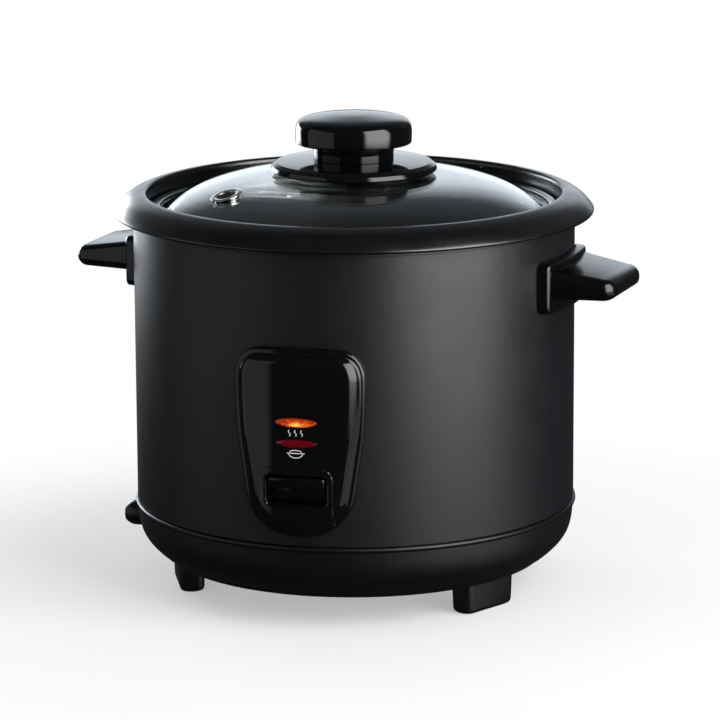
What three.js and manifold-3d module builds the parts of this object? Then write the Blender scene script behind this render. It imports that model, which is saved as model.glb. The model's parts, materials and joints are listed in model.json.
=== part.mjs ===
// A rice cooker with a glass lid. Millimetres, +Z up, standing on z = 0 with its axis on x = y = 0.
// The control panel faces -Y. The two handles lie along X, turned HANDLE_TURN about the axis.
import * as THREE from 'three';
import { mergeVertices } from 'three/addons/utils/BufferGeometryUtils.js';
import Module from 'manifold-3d';

const wasm = await Module();
wasm.setup();

// ---------- Driving dimensions ----------

const ROUND = 36; // facets round a large turned piece
const SMALL_ROUND = 16; // facets round a small one
const FINE_ROUND = 120; // facets of a cutter that must clear a faceted wall
const GAP = 0.3; // clearance kept between pieces that touch

const SHELL_R = 110;
const SHEET = 0.8; // wall of the shell and of the liner
const SHELL_FOOT = 44.7;
const SHELL_TOP = 192;

const RING_R = 119.4;
const RING_TOP = 200;
const RING_SHEET = 1.2;
const WELL_R = 103.2; // inner wall of the ring, round the lid
const SHELF_Z = 183; // step in the ring that carries the liner

const BASE_Z = 15.5; // underside of the base
const BASE_TOP = 44.3; // its bead, under the shell
const BASE_WALL = 2;
const BASE_OPENING_R = 66;

const LINER_R = 100.4;
const LINER_FLOOR = 76;
const LINER_OPENING_R = 58;

const PLATE_TOP = 96; // heating plate
const PLATE_R = 78;
const POT_R = 96;
const POT_WALL = 1.4;
const POT_RIM = 186.2;
const POT_RIM_R = 102.2;

const DOME_TOP = 208.8; // the glass falls from here by (radius / DOME_R) ^ DOME_POWER of DOME_FALL
const DOME_FALL = 19.2;
const DOME_R = 98;
const DOME_POWER = 3.84;
const GLASS_R = 99.4;
const GLASS_WALL = 3.4;
const BAND_R = 101.9;
const VENT_AT = 72; // radius at which the steam vent sits in the glass
const VENT_TURN = -136; // degrees from +X

const DISC_R = 41.5;
const DISC_FOOT = 209.6;
const DISC_TOP = 215.4;
const NECK_R = 20;
const CAP_R = 29;
const CAP_FOOT = 223.5;
const TOP_Z = 238.5; // overall height

const HANDLE_TURN = -7; // degrees from +X
const HANDLE_TIP = 143.3;
const HANDLE_FOOT = 148.6;
const HANDLE_TOP = 174.3;
const HANDLE_PLATE_R = 115.7;
const HANDLE_SCREW_TURN = 10; // degrees each side of the handle's middle
const HANDLE_SCREW_Z = 162;

const PANEL_R = 118.4; // its rounded face
const SURROUND_R = 119.2; // the raised face round the key
const WARM_Z = 107.5;
const COOK_Z = 97.2;
const LENS_HALF = [10.2, 2.05];
const WINDOW = { half: 15.1, low: 67, high: 81.5 };

const PIVOT_Y = -42; // the switch lever's pin, along X
const PIVOT_Z = 71.5;
const LEVER_HALF = 6; // half the lever's width
const PIN_R = 1.5;
const BORE_CLEARANCE = 0.3;
const PLUNGER_Y = -57;

const FOOT_AT = 85;
const FOOT_SIZE = [13, 35]; // radial, tangential
const FOOT_COUNTERBORE = 9.5; // depth of the screw's hole from below
const FOOT_TURNS = { front_left: -158, front_right: -29, rear: 86.5 };
const COVER_R = 73;
const COVER_Z = 13.2;
const COVER_WALL = 2;
const COVER_SCREW_AT = 69.5;
const COVER_SCREW_TURNS = [-90, 30, 150];

const GLAND_Z = 27.3;
const GLAND_R = 6.4;
const GLAND_TIP = 121;
const GLAND_SEAT = 110.2; // flat end of the boss that the gland sits on
const GLAND_BACK = 93.6; // and the boss's end inside the base
const CORD_HOLE_R = 3.75;

// ---------- Finishes ----------

function finish(color, roughness, metalness = 0) {
  return new THREE.MeshStandardMaterial({ color, roughness, metalness });
}

const SHELL_COAT = finish(0x1e1f22, 0.45, 0.3);
const RING_COAT = finish(0x131416, 0.3, 0.3);
const BLACK_PLASTIC = finish(0x070708, 0.12);
const DULL_PLASTIC = finish(0x101011, 0.5);
const STEEL = finish(0xc9cacc, 0.2, 1);
const ZINC = finish(0x9a9c9f, 0.4, 1);
const ALUMINIUM = finish(0xb4b6b9, 0.35, 1);
const NON_STICK = finish(0x2a2b2d, 0.45, 0.2);
const GLASS = new THREE.MeshStandardMaterial({
  color: 0xdfe6ea,
  roughness: 0.03,
  transparent: true,
  opacity: 0.3,
});
const AMBER = finish(0xff8a1c, 0.2);
const RED = finish(0x5a0610, 0.2);
const LAMP_GLASS = finish(0xe8dcc4, 0.1);
const SILICONE = finish(0xd8d8d4, 0.6);
const FERRITE = finish(0x3c3c40, 0.6, 0.2);
const CERAMIC = finish(0xe6e2d6, 0.6);
const RED_WIRE = finish(0x8c1c1c, 0.6);
const BLUE_WIRE = finish(0x1c3f8c, 0.6);
const WHITE_WIRE = finish(0xd9d6cc, 0.6);

// ---------- Solids ----------

const radians = (degrees) => THREE.MathUtils.degToRad(degrees);

// A closed geometry as a solid, turned right side out if its faces point inwards.
function toSolid(geometry) {
  const bare = geometry.clone();
  bare.deleteAttribute('normal');
  bare.deleteAttribute('uv');
  const merged = mergeVertices(bare, 1e-3);
  const vertProperties = new Float32Array(merged.attributes.position.array);
  const triVerts = new Uint32Array(merged.index.array);
  const made = new wasm.Manifold(new wasm.Mesh({ numProp: 3, vertProperties, triVerts }));
  if (made.volume() > 0) return made;
  for (let i = 0; i < triVerts.length; i += 3) {
    [triVerts[i + 1], triVerts[i + 2]] = [triVerts[i + 2], triVerts[i + 1]];
  }
  return new wasm.Manifold(new wasm.Mesh({ numProp: 3, vertProperties, triVerts }));
}

function toGeometry(solid) {
  const { vertProperties, triVerts } = solid.getMesh();
  const geometry = new THREE.BufferGeometry();
  geometry.setAttribute('position', new THREE.BufferAttribute(vertProperties, 3));
  geometry.setIndex(new THREE.BufferAttribute(triVerts, 1));
  geometry.computeVertexNormals();
  return geometry;
}

function combine(operation, first, others) {
  const start = toSolid(first);
  return toGeometry(others.reduce((solid, other) => solid[operation](toSolid(other)), start));
}

const join = (first, ...others) => combine('add', first, others);
const cut = (first, ...others) => combine('subtract', first, others);
const common = (first, ...others) => combine('intersect', first, others);

// A profile of [radius, height] pairs turned about Z. It closes on itself unless both ends are on the axis.
function turned(profile, facets = ROUND) {
  const onAxis = profile[0][0] === 0 && profile.at(-1)[0] === 0;
  const loop = onAxis ? profile : [...profile, profile[0]];
  const points = loop.map(([radius, height]) => new THREE.Vector2(radius, height));
  return toGeometry(toSolid(new THREE.LatheGeometry(points, facets).rotateX(Math.PI / 2)));
}

const cylinder = (radius, low, high, facets = SMALL_ROUND) =>
  turned([[0, low], [radius, low], [radius, high], [0, high]], facets);

const tube = (inner, outer, low, high, facets = SMALL_ROUND) =>
  turned([[inner, low], [outer, low], [outer, high], [inner, high]], facets);

// Lay a piece built along Z down along +X, or along -X.
const alongX = (geometry) => geometry.rotateY(Math.PI / 2);
const towardsLeft = (geometry) => geometry.rotateY(-Math.PI / 2);

const block = (low, high) => {
  const size = high.map((value, i) => value - low[i]);
  const middle = high.map((value, i) => (value + low[i]) / 2);
  return new THREE.BoxGeometry(...size).translate(...middle);
};

const polygon = (points) => new THREE.Shape(points.map(([x, y]) => new THREE.Vector2(x, y)));

function roundedRectangle(width, height, radius, middle = [0, 0]) {
  const [x, y] = middle;
  const [w, h] = [width / 2 - radius, height / 2 - radius];
  const shape = new THREE.Shape();
  shape.absarc(x + w, y + h, radius, 0, Math.PI / 2);
  shape.absarc(x - w, y + h, radius, Math.PI / 2, Math.PI);
  shape.absarc(x - w, y - h, radius, Math.PI, 1.5 * Math.PI);
  shape.absarc(x + w, y - h, radius, 1.5 * Math.PI, 2 * Math.PI);
  return shape;
}

const extruded = (shape, depth, curveSegments) =>
  new THREE.ExtrudeGeometry(shape, { depth, curveSegments, bevelEnabled: false });

// Extrusions along each axis: of an XY shape along Z, an XZ shape along Y and a YZ shape along X.
const slabZ = (shape, low, high, curves = 4) => extruded(shape, high - low, curves).translate(0, 0, low);

const slabY = (shape, low, high, curves = 4) =>
  extruded(shape, high - low, curves).rotateX(Math.PI / 2).translate(0, high, 0);

function slabX(shape, low, high, curves = 4) {
  const turn = new THREE.Matrix4().makeBasis(
    new THREE.Vector3(0, 1, 0),
    new THREE.Vector3(0, 0, 1),
    new THREE.Vector3(1, 0, 0),
  );
  return extruded(shape, high - low, curves).applyMatrix4(turn).translate(low, 0, 0);
}

// A solid round section of the given number of sides, swept along a curve.
function swept(curve, radius, sides, steps) {
  const corners = Array.from({ length: sides }, (_, i) => {
    const angle = (2 * Math.PI * i) / sides;
    return [radius * Math.cos(angle), radius * Math.sin(angle)];
  });
  return new THREE.ExtrudeGeometry(polygon(corners), { steps, extrudePath: curve, bevelEnabled: false });
}

class Helix extends THREE.Curve {
  constructor(radius, low, high, turns) {
    super();
    Object.assign(this, { radius, low, high, turns });
  }

  getPoint(t, target = new THREE.Vector3()) {
    const angle = 2 * Math.PI * this.turns * t;
    const height = this.low + (this.high - this.low) * t;
    return target.set(this.radius * Math.cos(angle), this.radius * Math.sin(angle), height);
  }
}

function spring(radius, wire, low, high, turns) {
  const stepsPerTurn = 12;
  const wireSides = 5;
  return swept(new Helix(radius, low + wire, high - wire, turns), wire, wireSides, turns * stepsPerTurn);
}

// A screw that points along +Z: its head hangs below the seat at z = 0.
function screw(radius, length, headRadius, headHeight) {
  const facets = 8;
  return turned(
    [
      [0, -headHeight],
      [headRadius * 0.8, -headHeight],
      [headRadius, -headHeight / 2],
      [headRadius, 0],
      [radius, 0],
      [radius, length - radius],
      [0, length],
    ],
    facets,
  );
}

const atTurn = (radius, degrees) =>
  [radius * Math.cos(radians(degrees)), radius * Math.sin(radians(degrees))];

// ---------- Casing ----------

function topRing() {
  const lipZ = 189.5;
  const lipR = 111.4;
  const shelfR = 101.3;
  const outer = [
    [shelfR, SHELF_Z],
    [WELL_R, SHELF_Z],
    [WELL_R, RING_TOP - 1.9],
    [WELL_R + 0.5, RING_TOP - 0.6],
    [WELL_R + 1.8, RING_TOP],
    [107.8, RING_TOP - 0.4],
    [112, RING_TOP - 2.2],
    [115.4, RING_TOP - 4.6],
    [117.6, RING_TOP - 6.9],
    [RING_R, RING_TOP - 9.1],
    [118.8, lipZ + 0.2],
    [116.6, lipZ - 0.4],
    [lipR, lipZ],
  ];
  const inner = [
    [lipR, lipZ + RING_SHEET],
    [116.4, lipZ + 0.9],
    [117.3, lipZ + 1.8],
    [114.3, RING_TOP - 5.6],
    [111.2, RING_TOP - 3.6],
    [107.4, RING_TOP - 1.7],
    [WELL_R + RING_SHEET, RING_TOP - 2.4],
    [WELL_R + RING_SHEET, SHELF_Z - RING_SHEET],
    [shelfR, SHELF_Z - RING_SHEET],
  ];
  return turned([...outer, ...inner]);
}

function shellBand() {
  return tube(SHELL_R - SHEET, SHELL_R, SHELL_FOOT, SHELL_TOP, ROUND);
}

// Round holes through the wall at a turn and height, for the handles' screws.
function wallHole(radius, turn, height, from = 90, to = 130) {
  return alongX(cylinder(radius, from, to, 10)).translate(0, 0, height).rotateZ(radians(turn));
}

function outerShell() {
  const holes = [HANDLE_TURN, HANDLE_TURN + 180].flatMap((turn) =>
    [-HANDLE_SCREW_TURN, HANDLE_SCREW_TURN].map((side) => wallHole(2.1, turn + side, HANDLE_SCREW_Z)),
  );
  const leverSlot = block([-8, -120, 66], [8, -100, 81]);
  const lampHole = wallHole(4, -90, (WARM_Z + COOK_Z) / 2);
  return cut(shellBand(), ...holes, leverSlot, lampHole);
}

function baseShell() {
  const outside = [
    [BASE_OPENING_R, BASE_Z],
    [94.6, BASE_Z],
    [96.4, 18],
    [98.6, 18.6],
    [101.6, 21.2],
    [105.8, 25.4],
    [108.6, 30.4],
    [109.8, 35.6],
    [110, 41.4],
    [111.1, 42.2],
    [111.1, 43.6],
    [110.4, BASE_TOP],
    [108.8, BASE_TOP],
    [108.8, 50],
  ];
  const inside = [
    [107.2, 50],
    [107.4, 35.8],
    [105.6, 29.4],
    [100.2, 23],
    [92.6, BASE_Z + BASE_WALL],
    [BASE_OPENING_R, BASE_Z + BASE_WALL],
  ];
  const bossR = 7.6;
  const boss = towardsLeft(cylinder(bossR, GLAND_BACK, GLAND_SEAT)).translate(0, 0, GLAND_Z);
  const glandHole = wallHole(5, 180, GLAND_Z);
  const footHoles = Object.values(FOOT_TURNS).map((turn) =>
    cylinder(2.1, 10, 25, 8).translate(...atTurn(FOOT_AT, turn), 0),
  );
  const coverHoles = COVER_SCREW_TURNS.map((turn) =>
    cylinder(1.8, 10, 25, 10).translate(...atTurn(COVER_SCREW_AT, turn), 0),
  );
  const bowl = turned([...outside, ...inside]);
  return cut(join(bowl, boss), glandHole, ...footHoles, ...coverHoles);
}

function bottomCover() {
  const ventCount = 10;
  const ventHalf = 1.7;
  const vents = Array.from({ length: ventCount }, (_, i) =>
    block([30, -ventHalf, 0], [52, ventHalf, 30]).rotateZ((2 * Math.PI * i) / ventCount),
  );
  const holes = COVER_SCREW_TURNS.map((turn) =>
    cylinder(1.8, 0, 30, 10).translate(...atTurn(COVER_SCREW_AT, turn), 0),
  );
  return cut(cylinder(COVER_R, COVER_Z, COVER_Z + COVER_WALL, ROUND), ...vents, ...holes);
}

function innerLiner() {
  const outer = LINER_R;
  const inner = LINER_R - SHEET;
  const flangeLow = SHELF_Z + GAP;
  const flangeR = WELL_R - 0.4;
  return turned([
    [flangeR, flangeLow],
    [outer, flangeLow],
    [outer, LINER_FLOOR + 2],
    [outer - 2, LINER_FLOOR],
    [LINER_OPENING_R, LINER_FLOOR],
    [LINER_OPENING_R, LINER_FLOOR + SHEET],
    [inner - 1.6, LINER_FLOOR + SHEET],
    [inner, LINER_FLOOR + SHEET + 1.6],
    [inner, flangeLow + SHEET],
    [flangeR, flangeLow + SHEET],
  ]);
}

// ---------- Feet ----------

function foot(turn) {
  const [radial, tangential] = FOOT_SIZE;
  const top = BASE_Z - GAP;
  const corner = 4.5;
  const bevel = 2.6;
  const shape = roundedRectangle(radial - 2 * bevel, tangential - 2 * bevel, corner - bevel, [FOOT_AT, 0]);
  const body = new THREE.ExtrudeGeometry(shape, {
    depth: top,
    curveSegments: 3,
    bevelSize: bevel,
    bevelThickness: bevel,
    bevelSegments: 2,
  }).translate(0, 0, bevel);
  const trim = block([0, -50, top], [200, 50, 100]);
  const counterbore = cylinder(3.9, -5, FOOT_COUNTERBORE, 12).translate(FOOT_AT, 0, 0);
  const hole = cylinder(2.1, 0, 30, 10).translate(FOOT_AT, 0, 0);
  return cut(body, trim, counterbore, hole).rotateZ(radians(turn));
}

// ---------- Handles ----------

function handle(turn) {
  const middle = (HANDLE_FOOT + HANDLE_TOP) / 2;
  const height = HANDLE_TOP - HANDLE_FOOT;
  const plateWidth = 60;
  const plate = common(
    slabX(roundedRectangle(plateWidth, height, 4, [0, middle]), 100, 120),
    cylinder(HANDLE_PLATE_R, 140, 180, FINE_ROUND),
  );
  const plan = new THREE.Shape();
  plan.moveTo(106, -29);
  plan.lineTo(112, -28.3);
  plan.lineTo(HANDLE_TIP - 6.5, -24.6);
  plan.quadraticCurveTo(HANDLE_TIP, -23.4, HANDLE_TIP, -16.5);
  plan.lineTo(HANDLE_TIP, 16.5);
  plan.quadraticCurveTo(HANDLE_TIP, 23.4, HANDLE_TIP - 6.5, 24.6);
  plan.lineTo(112, 28.3);
  plan.lineTo(106, 29);
  const side = polygon([
    [106, 156.2],
    [106, 171.6],
    [114, 171.2],
    [HANDLE_TIP - 3.6, 167],
    [HANDLE_TIP - 1, 165.6],
    [HANDLE_TIP, 163.2],
    [HANDLE_TIP, 160.6],
    [HANDLE_TIP - 1.2, 158.4],
    [HANDLE_TIP - 3.8, 156.8],
    [HANDLE_TIP - 7, 156.2],
  ]);
  const grip = common(slabZ(plan, 150, 180), slabY(side, -40, 40));
  const body = cylinder(SHELL_R + 0.5, 100, 200, FINE_ROUND);
  const holes = [-HANDLE_SCREW_TURN, HANDLE_SCREW_TURN].map((screwTurn) =>
    wallHole(1.9, screwTurn, HANDLE_SCREW_Z, 90, 114.6),
  );
  return cut(join(plate, grip), body, ...holes).rotateZ(radians(turn));
}

function handleScrew(turn) {
  const seat = SHELL_R - SHEET - 0.6;
  return alongX(screw(1.6, 114 - seat, 3.4, 2)).translate(seat, 0, HANDLE_SCREW_Z).rotateZ(radians(turn));
}

// ---------- Control panel ----------

// The panel's outline: a flat top, round shoulders and sides that draw in towards a round foot.
function panelOutline() {
  const shape = new THREE.Shape();
  shape.moveTo(0, 142.4);
  shape.lineTo(19.8, 142);
  shape.quadraticCurveTo(31.6, 140.8, 32.2, 128);
  shape.quadraticCurveTo(32.4, 115, 31, 99);
  shape.lineTo(26.8, 71);
  shape.quadraticCurveTo(23.7, 51, 0, 50.6);
  shape.quadraticCurveTo(-23.7, 51, -26.8, 71);
  shape.lineTo(-31, 99);
  shape.quadraticCurveTo(-32.4, 115, -32.2, 128);
  shape.quadraticCurveTo(-31.6, 140.8, -19.8, 142);
  return shape;
}

function ellipse(halfWidth, halfHeight, height) {
  const shape = new THREE.Shape();
  shape.absellipse(0, height, halfWidth, halfHeight, 0, 2 * Math.PI);
  return shape;
}

function controlPanel() {
  const outline = slabY(panelOutline(), -130, -90, 5);
  const face = common(outline, cylinder(PANEL_R, 40, 150, FINE_ROUND));
  const surroundShape = roundedRectangle(35.6, 42, 6, [0, 64.4]);
  const surroundFace = cylinder(SURROUND_R, 40, 150, FINE_ROUND);
  const surround = common(outline, slabY(surroundShape, -130, -90), surroundFace);
  const body = cylinder(SHELL_R + 0.5, 40, 150, FINE_ROUND);
  const window = block([-WINDOW.half, -130, WINDOW.low], [WINDOW.half, -110, WINDOW.high]);
  const keyCavity = block([-15, -114.2, 57], [15, -90, 91.5]);
  const lampCavity = block([-12.5, -116.4, COOK_Z - 3.6], [12.5, -90, WARM_Z + 3.6]);
  const lensHoles = [WARM_Z, COOK_Z].map((z) =>
    slabY(ellipse(LENS_HALF[0] + GAP, LENS_HALF[1] + GAP, z), -130, -112),
  );
  return cut(join(face, surround), body, window, keyCavity, lampCavity, ...lensHoles);
}

function lens(height) {
  const domed = cylinder(PANEL_R + 0.4, 90, 120, FINE_ROUND);
  return common(slabY(ellipse(...LENS_HALF, height), -125, -116.7), domed);
}

function lamp(height) {
  const glass = turned([[0, -8.6], [2.1, -8.6], [2.1, 6.6], [1.3, 8.4], [0, 8.8]], 10);
  return alongX(glass).translate(0, -113.6, height);
}

// ---------- Switch lever ----------

function leverKey() {
  const apron = block([-14.6, -112.3, 64.5], [14.6, -111.2, 90]);
  const lip = polygon([
    [-112, 74.9],
    [-118.6, 74.9],
    [-119.3, 75.6],
    [-119.3, 79.4],
    [-118.4, 80.5],
    [-112, 80.5],
  ]);
  return join(apron, slabX(lip, -14, 14));
}

function leverArm() {
  const strip = polygon([
    [-110.9, 77],
    [-106.1, 77],
    [-106.1, 70.7],
    [1.5, 70.7],
    [1.5, 72.3],
    [-104.5, 72.3],
    [-104.5, 78.6],
    [-110.9, 78.6],
  ]);
  const eye = alongX(cylinder(3.2, -LEVER_HALF, LEVER_HALF, 12)).translate(0, PIVOT_Y, PIVOT_Z);
  const bore = alongX(cylinder(PIN_R + BORE_CLEARANCE, -10, 10, 12)).translate(0, PIVOT_Y, PIVOT_Z);
  return cut(join(slabX(strip, -LEVER_HALF, LEVER_HALF), eye), bore);
}

function leverPin() {
  const profile = [[0, -11.6], [2.6, -11.6], [2.6, -10.4], [PIN_R, -10.4], [PIN_R, 11], [0, 11.4]];
  return alongX(turned(profile, 12)).translate(0, PIVOT_Y, PIVOT_Z);
}

// Two ears that hold the pin and the switch, hung from a strap under the liner's floor.
function leverBracket() {
  const earIn = 7.2;
  const earOut = 8.6;
  const strapZ = LINER_FLOOR - GAP - 1.4;
  const ears = [-1, 1].map((side) => {
    const [low, high] = side < 0 ? [-earOut, -earIn] : [earIn, earOut];
    return block([low, -68, 57.4], [high, -36, LINER_FLOOR - GAP]);
  });
  const strap = block([-earOut, -84, strapZ], [earOut, -62, LINER_FLOOR - GAP]);
  const bore = alongX(cylinder(PIN_R + BORE_CLEARANCE, -20, 20, 12)).translate(0, PIVOT_Y, PIVOT_Z);
  return cut(join(strap, ...ears), bore);
}

function microswitch() {
  const body = block([-6.8, -67, 57.5], [6.8, -49, 67.7]);
  return cut(body, cylinder(1.8, 63.5, 80, 10).translate(0, PLUNGER_Y, 0));
}

function switchPlunger() {
  const profile = [[0, 65.6], [1.5, 65.6], [1.5, 69.9], [0.9, 70.4], [0, 70.4]];
  return turned(profile, 10).translate(0, PLUNGER_Y, 0);
}

// ---------- Heater ----------

function heatingPlate() {
  const bossZ = 82.5;
  const webZ = 89.5;
  return turned([
    [17.5, 86],
    [17.5, PLATE_TOP - 0.8],
    [18.5, PLATE_TOP],
    [PLATE_R - 4, PLATE_TOP],
    [PLATE_R, PLATE_TOP - 1.6],
    [PLATE_R, webZ + 1],
    [68, webZ],
    [65, bossZ],
    [51, bossZ],
    [48, webZ],
    [23, webZ],
    [21, 86],
  ]);
}

function plateSupport(turn) {
  return cylinder(3.4, LINER_FLOOR + SHEET + GAP, 89.2, 10).translate(...atTurn(73, turn), 0);
}

function heaterTerminal(side) {
  const post = turned([[0, 69], [1.6, 69], [1.6, 78], [2.4, 78.4], [2.4, 82.2], [0, 82.2]], 10);
  return post.translate(side * 27, 46, 0);
}

// ---------- Pot-bottom sensor ----------

function sensorCap() {
  const wall = 1.2;
  const radius = 15.5;
  const top = PLATE_TOP;
  return turned(
    [
      [0, top],
      [radius - 1, top],
      [radius, top - 1],
      [radius, 81.2],
      [16.9, 81.2],
      [16.9, 80],
      [radius - wall, 80],
      [radius - wall, top - wall],
      [0, top - wall],
    ],
    24,
  );
}

const sensorFerrite = () => cylinder(9.5, 91.5, 94.5, 20);

function sensorGuide() {
  const bore = 3.1;
  const flange = turned(
    [
      [bore, 77.5],
      [29, 77.5],
      [29, 78.7],
      [12, 78.7],
      [12, 87.5],
      [10.8, 87.5],
      [10.8, 78.7],
      [bore, 78.7],
    ],
    24,
  );
  const posts = [-1, 1].map((side) => cylinder(1.8, 78, 89.2, 8).translate(side * 26, 0, 0));
  return join(flange, ...posts);
}

function magnet() {
  return turned([[0, 83.5], [8.6, 83.5], [8.6, 87.5], [5.8, 87.5], [5.8, 84.7], [0, 84.7]], 20);
}

const magnetRod = () => turned([[0, 72.6], [2.6, 72.6], [2.6, 83.2], [0, 83.2]], 12);

const sensorSpring = () => spring(13.25, 0.45, 79, 94.5, 4);

const magnetSpring = () => spring(4.7, 0.4, 85, 91.2, 3);

// ---------- Pot ----------

function innerPot() {
  const foot = PLATE_TOP + GAP;
  const inner = POT_R - POT_WALL;
  return turned([
    [0, foot],
    [88, foot],
    [92.8, foot + 1.5],
    [95.2, foot + 4.9],
    [POT_R, foot + 10],
    [POT_R, POT_RIM - 1.3],
    [POT_RIM_R, POT_RIM - 1.3],
    [POT_RIM_R, POT_RIM],
    [POT_R - 0.2, POT_RIM],
    [inner, POT_RIM - 1.2],
    [inner, foot + 10.2],
    [93.9, foot + 5.8],
    [91.9, foot + 2.9],
    [87.6, foot + POT_WALL],
    [0, foot + POT_WALL],
  ]);
}

// ---------- Lid ----------

const domeHeight = (radius) => DOME_TOP - DOME_FALL * (radius / DOME_R) ** DOME_POWER;

function lidGlass() {
  const stations = [40, 60, 74, 84, 91];
  const outer = [[4.5, DOME_TOP], ...stations.map((radius) => [radius, domeHeight(radius)])];
  const rim = [
    [94.6, 192.3],
    [96.8, 191.4],
    [GLASS_R, 191],
    [GLASS_R, 187.6],
    [96.6, 187.6],
    [93, 188.9],
  ];
  const inner = [...stations]
    .reverse()
    .map((radius) => [radius - 2.2 * (radius / DOME_R) ** 2, domeHeight(radius) - GLASS_WALL * 0.9]);
  const dome = turned([...outer, ...rim, ...inner, [4.5, DOME_TOP - GLASS_WALL]]);
  return cut(dome, inVent(cylinder(6.2, -20, 20, SMALL_ROUND)));
}

// Carries a piece built round Z at the origin to the vent's place, square to the glass.
function inVent(geometry) {
  const slope = ((DOME_FALL * DOME_POWER) / DOME_R) * (VENT_AT / DOME_R) ** (DOME_POWER - 1);
  return geometry
    .rotateY(Math.atan(slope))
    .translate(VENT_AT, 0, domeHeight(VENT_AT))
    .rotateZ(radians(VENT_TURN));
}

function lidBand() {
  const floor = POT_RIM + GAP;
  return turned([
    [93.9, 182],
    [93.9, floor],
    [BAND_R, floor],
    [BAND_R, 191.7],
    [BAND_R - 0.8, 192.4],
    [97.4, 192.5],
    [96.7, 192.1],
    [97.1, 191.75],
    [99.8, 191.5],
    [99.8, floor + 0.7],
    [93.2, floor + 0.7],
    [93.2, 182],
  ]);
}

// A tubular rivet through the glass.
function steamVent() {
  return inVent(
    turned(
      [
        [4.9, -5.6],
        [7.4, -5.6],
        [7.4, -4.7],
        [5.8, -4.5],
        [5.8, 0.5],
        [8, 0.5],
        [8, 1.1],
        [6.6, 1.9],
        [4.9, 1.5],
      ],
      SMALL_ROUND,
    ),
  );
}

function knob() {
  const facets = 24;
  return turned(
    [
      [2.9, DISC_TOP + GAP],
      [NECK_R, DISC_TOP + GAP],
      [NECK_R, CAP_FOOT],
      [CAP_R - 1.1, CAP_FOOT],
      [CAP_R - 0.1, CAP_FOOT + 1],
      [CAP_R, CAP_FOOT + 5],
      [CAP_R - 0.3, 232],
      [CAP_R - 1.5, 234.4],
      [24.1, 236.2],
      [15, 237.9],
      [0, TOP_Z],
      [0, DISC_TOP + 14],
      [2.9, DISC_TOP + 14],
    ],
    facets,
  );
}

function knobDisc() {
  const facets = 24;
  return turned(
    [
      [2.9, DOME_TOP + GAP],
      [16, DOME_TOP + GAP],
      [18, DISC_FOOT],
      [DISC_R - 1.5, DISC_FOOT],
      [DISC_R - 0.4, DISC_FOOT + 0.3],
      [DISC_R, DISC_FOOT + 1.1],
      [DISC_R - 2.9, DISC_TOP - 1.5],
      [NECK_R + 1, DISC_TOP],
      [2.9, DISC_TOP],
    ],
    facets,
  );
}

function knobGasket() {
  const top = DOME_TOP - GLASS_WALL - GAP;
  return tube(2.9, 11, top - 1.4, top, SMALL_ROUND);
}

function knobScrew() {
  const seat = DOME_TOP - GLASS_WALL - GAP - 1.4 - GAP;
  return screw(2.5, 25, 5, 2.6).translate(0, 0, seat);
}

// ---------- Mains parts ----------

// A domed bush in the base's boss, with a shank and the hole for the cord.
function cordGland() {
  const neckR = 4.7;
  const seat = GLAND_SEAT + GAP;
  const bush = turned(
    [
      [CORD_HOLE_R, GLAND_BACK - 5],
      [neckR, GLAND_BACK - 5],
      [neckR, seat],
      [GLAND_R, seat],
      [GLAND_R, GLAND_TIP - 5],
      [GLAND_R - 0.6, GLAND_TIP - 2.6],
      [GLAND_R - 1.5, GLAND_TIP - 0.8],
      [CORD_HOLE_R + 0.5, GLAND_TIP],
      [CORD_HOLE_R, GLAND_TIP - 0.5],
    ],
    20,
  );
  return towardsLeft(bush).translate(0, 0, GLAND_Z);
}

function glandNut() {
  const [low, high] = [GLAND_BACK - GAP - 3, GLAND_BACK - GAP];
  const nut = cut(cylinder(8.2, low, high, 6), cylinder(5, low - 1, high + 1, 12));
  return towardsLeft(nut).translate(0, 0, GLAND_Z);
}

function terminalBlock() {
  const body = block([-88, -14, BASE_Z + BASE_WALL + GAP], [-74, 14, 24.4]);
  const barrels = [-9, 0, 9].map((y) => block([-85, y - 3, 24], [-77, y + 3, 28.6]));
  return join(body, ...barrels);
}

function thermalFuse() {
  const leadR = 0.6;
  const fuse = turned(
    [
      [0, -9],
      [leadR, -9],
      [leadR, -6.5],
      [2.2, -6],
      [2.2, 5],
      [leadR, 6.5],
      [leadR, 9],
      [0, 9],
    ],
    10,
  );
  return alongX(fuse).translate(0, 68, LINER_FLOOR - GAP - 2.2);
}

function keepWarmThermostat() {
  const profile = [[0, 66], [6, 66], [6, 69], [8.2, 69], [8.2, 75.2], [0, 75.2]];
  return turned(profile, SMALL_ROUND).translate(70, -22, 0);
}

function wire(points) {
  const curve = new THREE.CatmullRomCurve3(points.map((point) => new THREE.Vector3(...point)));
  return swept(curve, 1.3, 6, 14);
}

// Routes of the three inner wires, from the terminal block outwards.
const LIVE_ROUTE = [
  [-81, -9, 29],
  [-81, -10, 36],
  [-66, -26, 44],
  [-36, -52, 48],
  [-9, -59, 50],
  [-4, -60, 53],
  [-4, -60, 57.1],
];
const NEUTRAL_ROUTE = [
  [-81, 9, 29],
  [-81, 11, 36],
  [-64, 26, 44],
  [-40, 42, 52],
  [-27, 46, 62],
  [-27, 46, 68.6],
];
const HEATER_ROUTE = [
  [4, -54, 57.1],
  [4, -54, 52.5],
  [10, -44, 49],
  [24, -16, 46],
  [34, 18, 49],
  [28, 44, 58],
  [27, 46, 63],
  [27, 46, 68.6],
];

// ---------- The object ----------

const cooker = new THREE.Group();

function add(name, geometry, material) {
  const mesh = new THREE.Mesh(geometry, material);
  mesh.name = name;
  cooker.add(mesh);
}

add('lid_glass', lidGlass(), GLASS);
add('lid_band', lidBand(), STEEL);
add('steam_vent', steamVent(), STEEL);
add('knob', knob(), BLACK_PLASTIC);
add('knob_disc', knobDisc(), BLACK_PLASTIC);
add('knob_gasket', knobGasket(), SILICONE);
add('knob_screw', knobScrew(), STEEL);
add('inner_pot', innerPot(), NON_STICK);

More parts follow.
